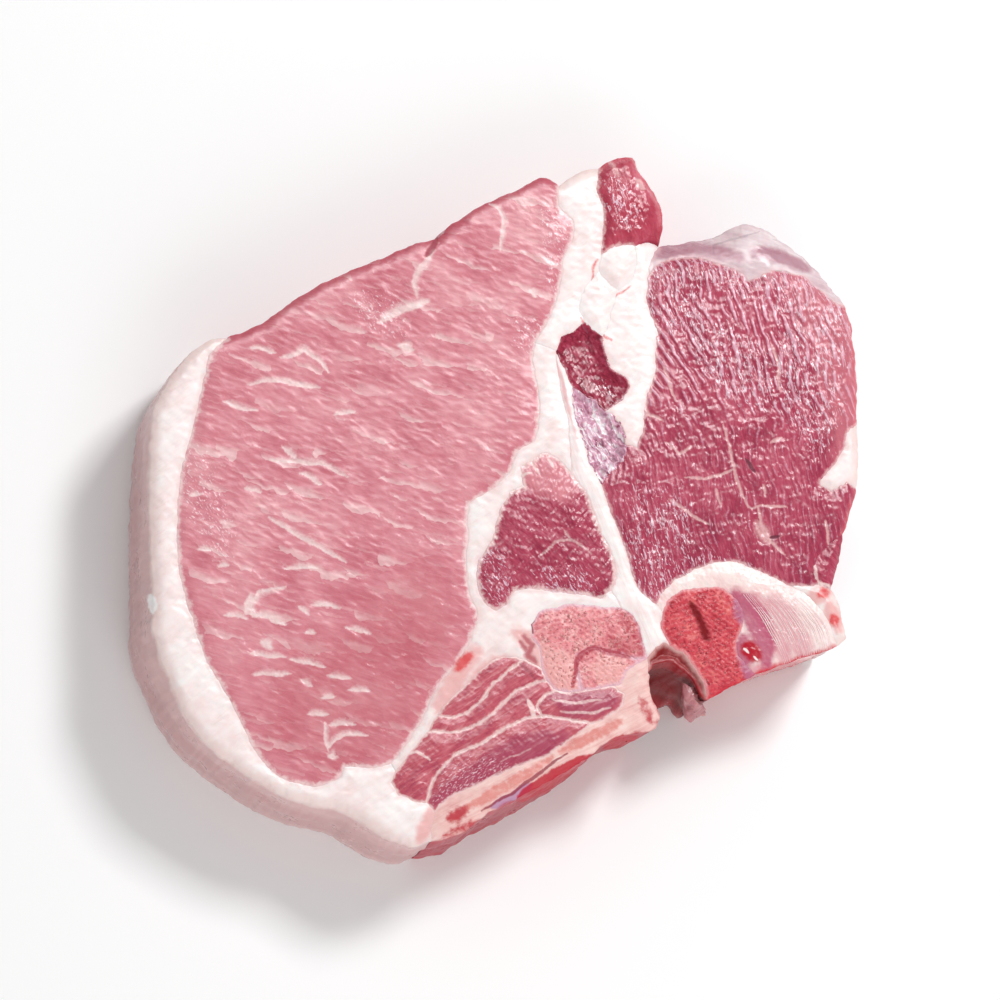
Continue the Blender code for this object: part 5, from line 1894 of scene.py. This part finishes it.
@dataclass
class BoneStruts:
    """Struts of spongy bone that stand in a sawn face, thicker in some places than in others.

    Sizes are in mm. Least and most are how much a strut's length, width and height may
    differ from its radius, and lean by how many radians it may tip.
    """

    per_square_mm: float = 0.9
    radius: float = 0.24
    inset: float = 0.9
    patch: float = 3.0
    least: tuple[float, float, float] = (0.7, 0.5, 0.1)
    most: tuple[float, float, float] = (2.2, 1.0, 0.2)
    lean: float = 0.3
    seed: int = 3

    def growth(self) -> GrowthTree:
        """The tree: flat little lumps, turned at random, on the cut face away from its edges and slits."""
        growth = GrowthTree("bone_strut_growth")
        tree = growth.tree
        density, radius, inset, patch = (growth.size(name) for name in ("Density", "Radius", "Inset", "Patch"))
        least, most, lowest, highest = (
            growth.size(name, "Vector") for name in ("Least", "Most", "Lowest turn", "Highest turn")
        )
        seed = growth.size("Seed", "Int")
        normal = add(tree, "GeometryNodeInputNormal")
        tests = [("GREATER_THAN", add(tree, "ShaderNodeSeparateXYZ", {0: normal}, 2), 0.6)]
        for name, test, limit in (("seam", "GREATER_THAN", inset), ("rim", "GREATER_THAN", inset),
                                  (SHADE, "LESS_THAN", 0.1)):
            tests.append((test, add(tree, "GeometryNodeInputNamedAttribute", {0: name}, data_type="FLOAT"), limit))
        chosen = 1.0
        for test, value, limit in tests:
            passed = add(tree, MATH, {0: value, 1: limit}, operation=test)
            chosen = add(tree, MATH, {0: chosen, 1: passed}, operation="MULTIPLY")
        place = add(tree, "GeometryNodeInputPosition")
        scale = add(tree, MATH, {0: 1.0, 1: patch}, operation="DIVIDE")
        place = add(tree, VECTOR_MATH, {0: place, 3: scale}, operation="SCALE")
        crowd = add(tree, NOISE, {"Vector": place, "Scale": 1.0, "Detail": 2.0})
        crowd = add(tree, MAP_RANGE, {0: crowd, 1: 0.4, 2: 0.62, 3: 0.15, 4: 1.6})
        crowd = add(tree, MATH, {0: density, 1: crowd}, operation="MULTIPLY")
        inputs = {0: growth.entry.outputs[0], 1: chosen, 4: crowd, 6: seed}
        spots = add(tree, "GeometryNodeDistributePointsOnFaces", inputs, distribute_method="RANDOM")
        lump = add(tree, "GeometryNodeMeshIcoSphere", {0: radius, 1: 1})
        turn = add(tree, "FunctionNodeRandomValue", {0: lowest, 1: highest, 8: seed}, data_type="FLOAT_VECTOR")
        turn = add(tree, "FunctionNodeEulerToRotation", {0: turn})
        size = add(tree, "FunctionNodeRandomValue", {0: least, 1: most, 8: seed}, data_type="FLOAT_VECTOR")
        growth.end(add(tree, "GeometryNodeInstanceOnPoints", {0: spots, 2: lump, 5: turn, 6: size}))
        return growth

    def build(self, bones: dict[str, Piece], materials: dict[str, Material]) -> None:
        """Grows struts on each dressed bone.

        Args:
            bones: the bones, by their nodes.
            materials: the materials, by their finishes.
        """
        growth = self.growth()
        for node, bone in bones.items():
            slot, finish = ("marrow_bone", "marrow_strut") if node == "vertebral_body" else ("bone", "bone_strut")
            sizes = {"Density": self.per_square_mm / MM**2, "Radius": self.radius * MM, "Inset": self.inset,
                     "Patch": self.patch * MM, "Least": self.least, "Most": self.most,
                     "Lowest turn": (-self.lean, -self.lean, 0.0), "Highest turn": (self.lean, self.lean, 6.28),
                     "Seed": self.seed, "Finish": materials[finish]}
            settle(growth.grow(f"{node}_struts", bone.data.copy(), sizes), node, "spine")


@dataclass
class HangingScrap:
    """The torn scrap of membrane that hangs in the canal's mouth, grown over its node's outlines. Sizes are in mm."""

    node: str = "canal_scrap"
    spacing: float = 0.3
    rows: int = 30
    wrinkle: float = 0.16
    wrinkle_length: float = 2.2
    end_inset: float = 0.35
    end_reach: float = 0.5
    root_reach: tuple[float, float] = (1.2, 0.6)
    root_shares: tuple[float, float] = (0.5, 0.9)
    root_depth: float = 0.3

    def levels(self) -> Array:
        """The node's outlines from its foot up, each counter-clockwise and matched with the one below."""
        raw = np.array([vertex.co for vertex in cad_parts[self.node].data.vertices]) / MM
        points = np.unique(raw.round(3), axis=0)
        found = []
        for height in np.unique(points[:, 2].round(1)):
            level = points[np.abs(points[:, 2] - height) < 0.1]
            offset = level[:, :2] - level[:, :2].mean(axis=0)
            order = np.argsort(np.arctan2(offset[:, 1], offset[:, 0]))
            level, offset = level[order], offset[order]
            if found:
                below = found[-1][:, :2] - found[-1][:, :2].mean(axis=0)
                turned = (np.roll(offset, turn, axis=0) for turn in range(len(level)))
                apart = [np.linalg.norm(loop - below, axis=1).sum() for loop in turned]
                level = np.roll(level, int(np.argmin(apart)), axis=0)
            found.append(level)
        return np.stack(found, axis=1)

    def wall(self) -> Array:
        """The scrap's fine wall, smooth as yet: rows of points from its foot up."""
        levels = self.levels()
        columns, _ = refined(levels, np.ones(len(levels), bool), self.spacing * COARSE)
        shares = np.linspace(0, 1, self.rows)
        own = (columns[0, :, 2] - columns[0, 0, 2]) / (columns[0, -1, 2] - columns[0, 0, 2])
        fine = [[np.interp(shares, own, values) for values in column.T] for column in columns]
        return np.stack(fine).transpose(2, 0, 1)

    def shaped(self, row: Array, share: float, height: float) -> Array:
        """One row, wrinkled, rounded near both ends, and drawn to the canal's wall where it is near it.

        Args:
            row: the row's points.
            share: how far up it is, from 0 to 1.
            height: the scrap's height.

        Returns:
            The points in their new places.
        """
        loop = row[:, :2]
        outward = outward_of(ahead_of(loop) - np.roll(loop, 1, axis=0))
        end = min(share, 1 - share) * height
        shift = self.wrinkle * ripple(row * (1, 1, 0.5), self.wrinkle_length, 85)
        shift -= self.end_inset * max(0.0, 1 - end / self.end_reach) ** 2
        moved = loop + outward * shift[:, None]
        offset = FACE.outlines["canal_lining"].top[None] - moved[:, None]
        away = np.linalg.norm(offset, axis=-1)
        gap, step = away.min(axis=1), offset[np.arange(len(moved)), away.argmin(axis=1)]
        pull = smooth_step(gap, *self.root_reach) * smooth_step(np.array([share]), *self.root_shares)
        moved += step * (pull * (1 + self.root_depth / np.maximum(gap, 0.2)))[:, None]
        return np.column_stack([moved, row[:, 2]])

    def faces(self, count: int) -> Array:
        """Triangles over rows of so many points each, and over both ends round a middle point.

        Args:
            count: how many points a row has.

        Returns:
            Three corners' places for each triangle.
        """
        ring = np.arange(count)
        ahead = (ring + 1) % count
        faces = []
        for low in range(0, (self.rows - 1) * count, count):
            high = low + count
            faces.append(np.column_stack([low + ring, low + ahead, high + ahead]))
            faces.append(np.column_stack([low + ring, high + ahead, high + ring]))
        last, foot_middle = (self.rows - 1) * count, self.rows * count
        faces.append(np.column_stack([ahead, ring, np.full(count, foot_middle)]))
        faces.append(np.column_stack([last + ring, last + ahead, np.full(count, foot_middle + 1)]))
        return np.vstack(faces)

    def build(self, finish: Material) -> None:
        """Builds the scrap and hangs it in the canal.

        Args:
            finish: its material.
        """
        wall = self.wall()
        height = wall[-1, 0, 2] - wall[0, 0, 2]
        shares = np.linspace(0, 1, self.rows)
        rows = [self.shaped(row, share, height) for share, row in zip(shares, wall)]
        middles = np.array([rows[0].mean(axis=0), rows[-1].mean(axis=0)])
        count = wall.shape[1]
        piece = mesh_object(f"{self.node}_dressed", np.vstack([*rows, middles]), self.faces(count))
        write_number(piece, "rim", np.append(np.repeat(shares, count), (0, 1)) * height)
        piece.data.materials.append(finish)
        settle(piece, self.node, "spine")


@dataclass(frozen=True)
class Softbox:
    """A square soft light that faces the steak: its place and side in metres, and its power in watts.

    One that only glints lights wet surfaces by their mirror, and nothing else.
    """

    name: str
    place: tuple[float, float, float]
    side: float
    power: float
    only_glints: bool = False

    def build(self) -> None:
        """Adds the light."""
        lamp = bpy.data.lights.new(self.name, "AREA")
        lamp.size, lamp.energy = self.side, self.power
        light = bpy.data.objects.new(self.name, lamp)
        light.visible_diffuse = not self.only_glints
        direction = Vector((0.0, 0.0, THICKNESS * MM)) - Vector(self.place)
        light.matrix_world = Matrix.Translation(self.place) @ direction.to_track_quat("-Z", "Y").to_matrix().to_4x4()
        bpy.context.scene.collection.objects.link(light)


@dataclass
class Studio:
    """A plain pale floor, soft light and the camera. The floor's sizes are in mm."""

    floor_half: float = 3000.0
    floor_drop: float = 0.05
    floor_colour: str = "FEFEFE"
    sky: float = 0.41
    lights: tuple[Softbox, ...] = (
        Softbox("key", (0.45, 0.5, 0.8), 0.26, 6.7),
        Softbox("glint", (0.08, 0.66, 0.75), 0.5, 8.0, only_glints=True),
        Softbox("fill", (0.0, -0.95, 0.55), 0.9, 4.6),
    )

    def build(self) -> None:
        """Adds the floor, the lights and the camera."""
        half, low = self.floor_half, -self.floor_drop
        corners = np.array([(-half, -half, low), (half, -half, low), (half, half, low), (-half, half, low)])
        floor = mesh_object("studio_floor", corners, np.array([(0, 1, 2), (0, 2, 3)]))
        material = bpy.data.materials.new("matt_white_board")
        material.use_nodes = True
        values = {"Base Color": linear(self.floor_colour), "Roughness": 0.9, "Specular IOR Level": 0.1}
        set_inputs(material.node_tree.nodes["Principled BSDF"], values)
        floor.data.materials.append(material)
        for light in self.lights:
            light.build()
        world = bpy.data.worlds.new("soft_white")
        world.use_nodes = True
        set_inputs(world.node_tree.nodes["Background"], {"Color": (1.0, 1.0, 1.0, 1.0), "Strength": self.sky})
        bpy.context.scene.world = world
        bpy.context.scene.view_settings.view_transform = "Standard"
        VIEW.add_camera()


def main() -> None:
    """Builds the steak's looks."""
    logging.basicConfig(level=logging.INFO, format="%(message)s")
    Studio().build()
    groups = {
        "loin": (LOIN_EYE,),
        "tenderloin side": (TENDERLOIN, PSOAS_MINOR),
        "chine muscles": (MULTIFIDUS, *SIDE_MUSCLES),
        "flank tip": FLANK_PIECES,
        "spine": BONES,
        "fat": FAT_PIECES,
    }
    FACE.read([dressing.node for dressings in groups.values() for dressing in dressings])
    materials = {name: MaterialMaker(name, finish).build() for name, finish in FINISHES.items()}
    pieces = {}
    for title, dressings in groups.items():
        pieces |= SubAssembly(title, dressings, materials).build()
    HangingScrap().build(materials["torn_tissue"])
    DiscRing().build(pieces["disc"], materials["white_fibre"])
    bones = {dressing.node: pieces[dressing.node] for dressing in BONES if dressing.relief is Relief.SPONGE}
    BoneStruts().build(bones, materials)


if __name__ == "__main__":
    main()
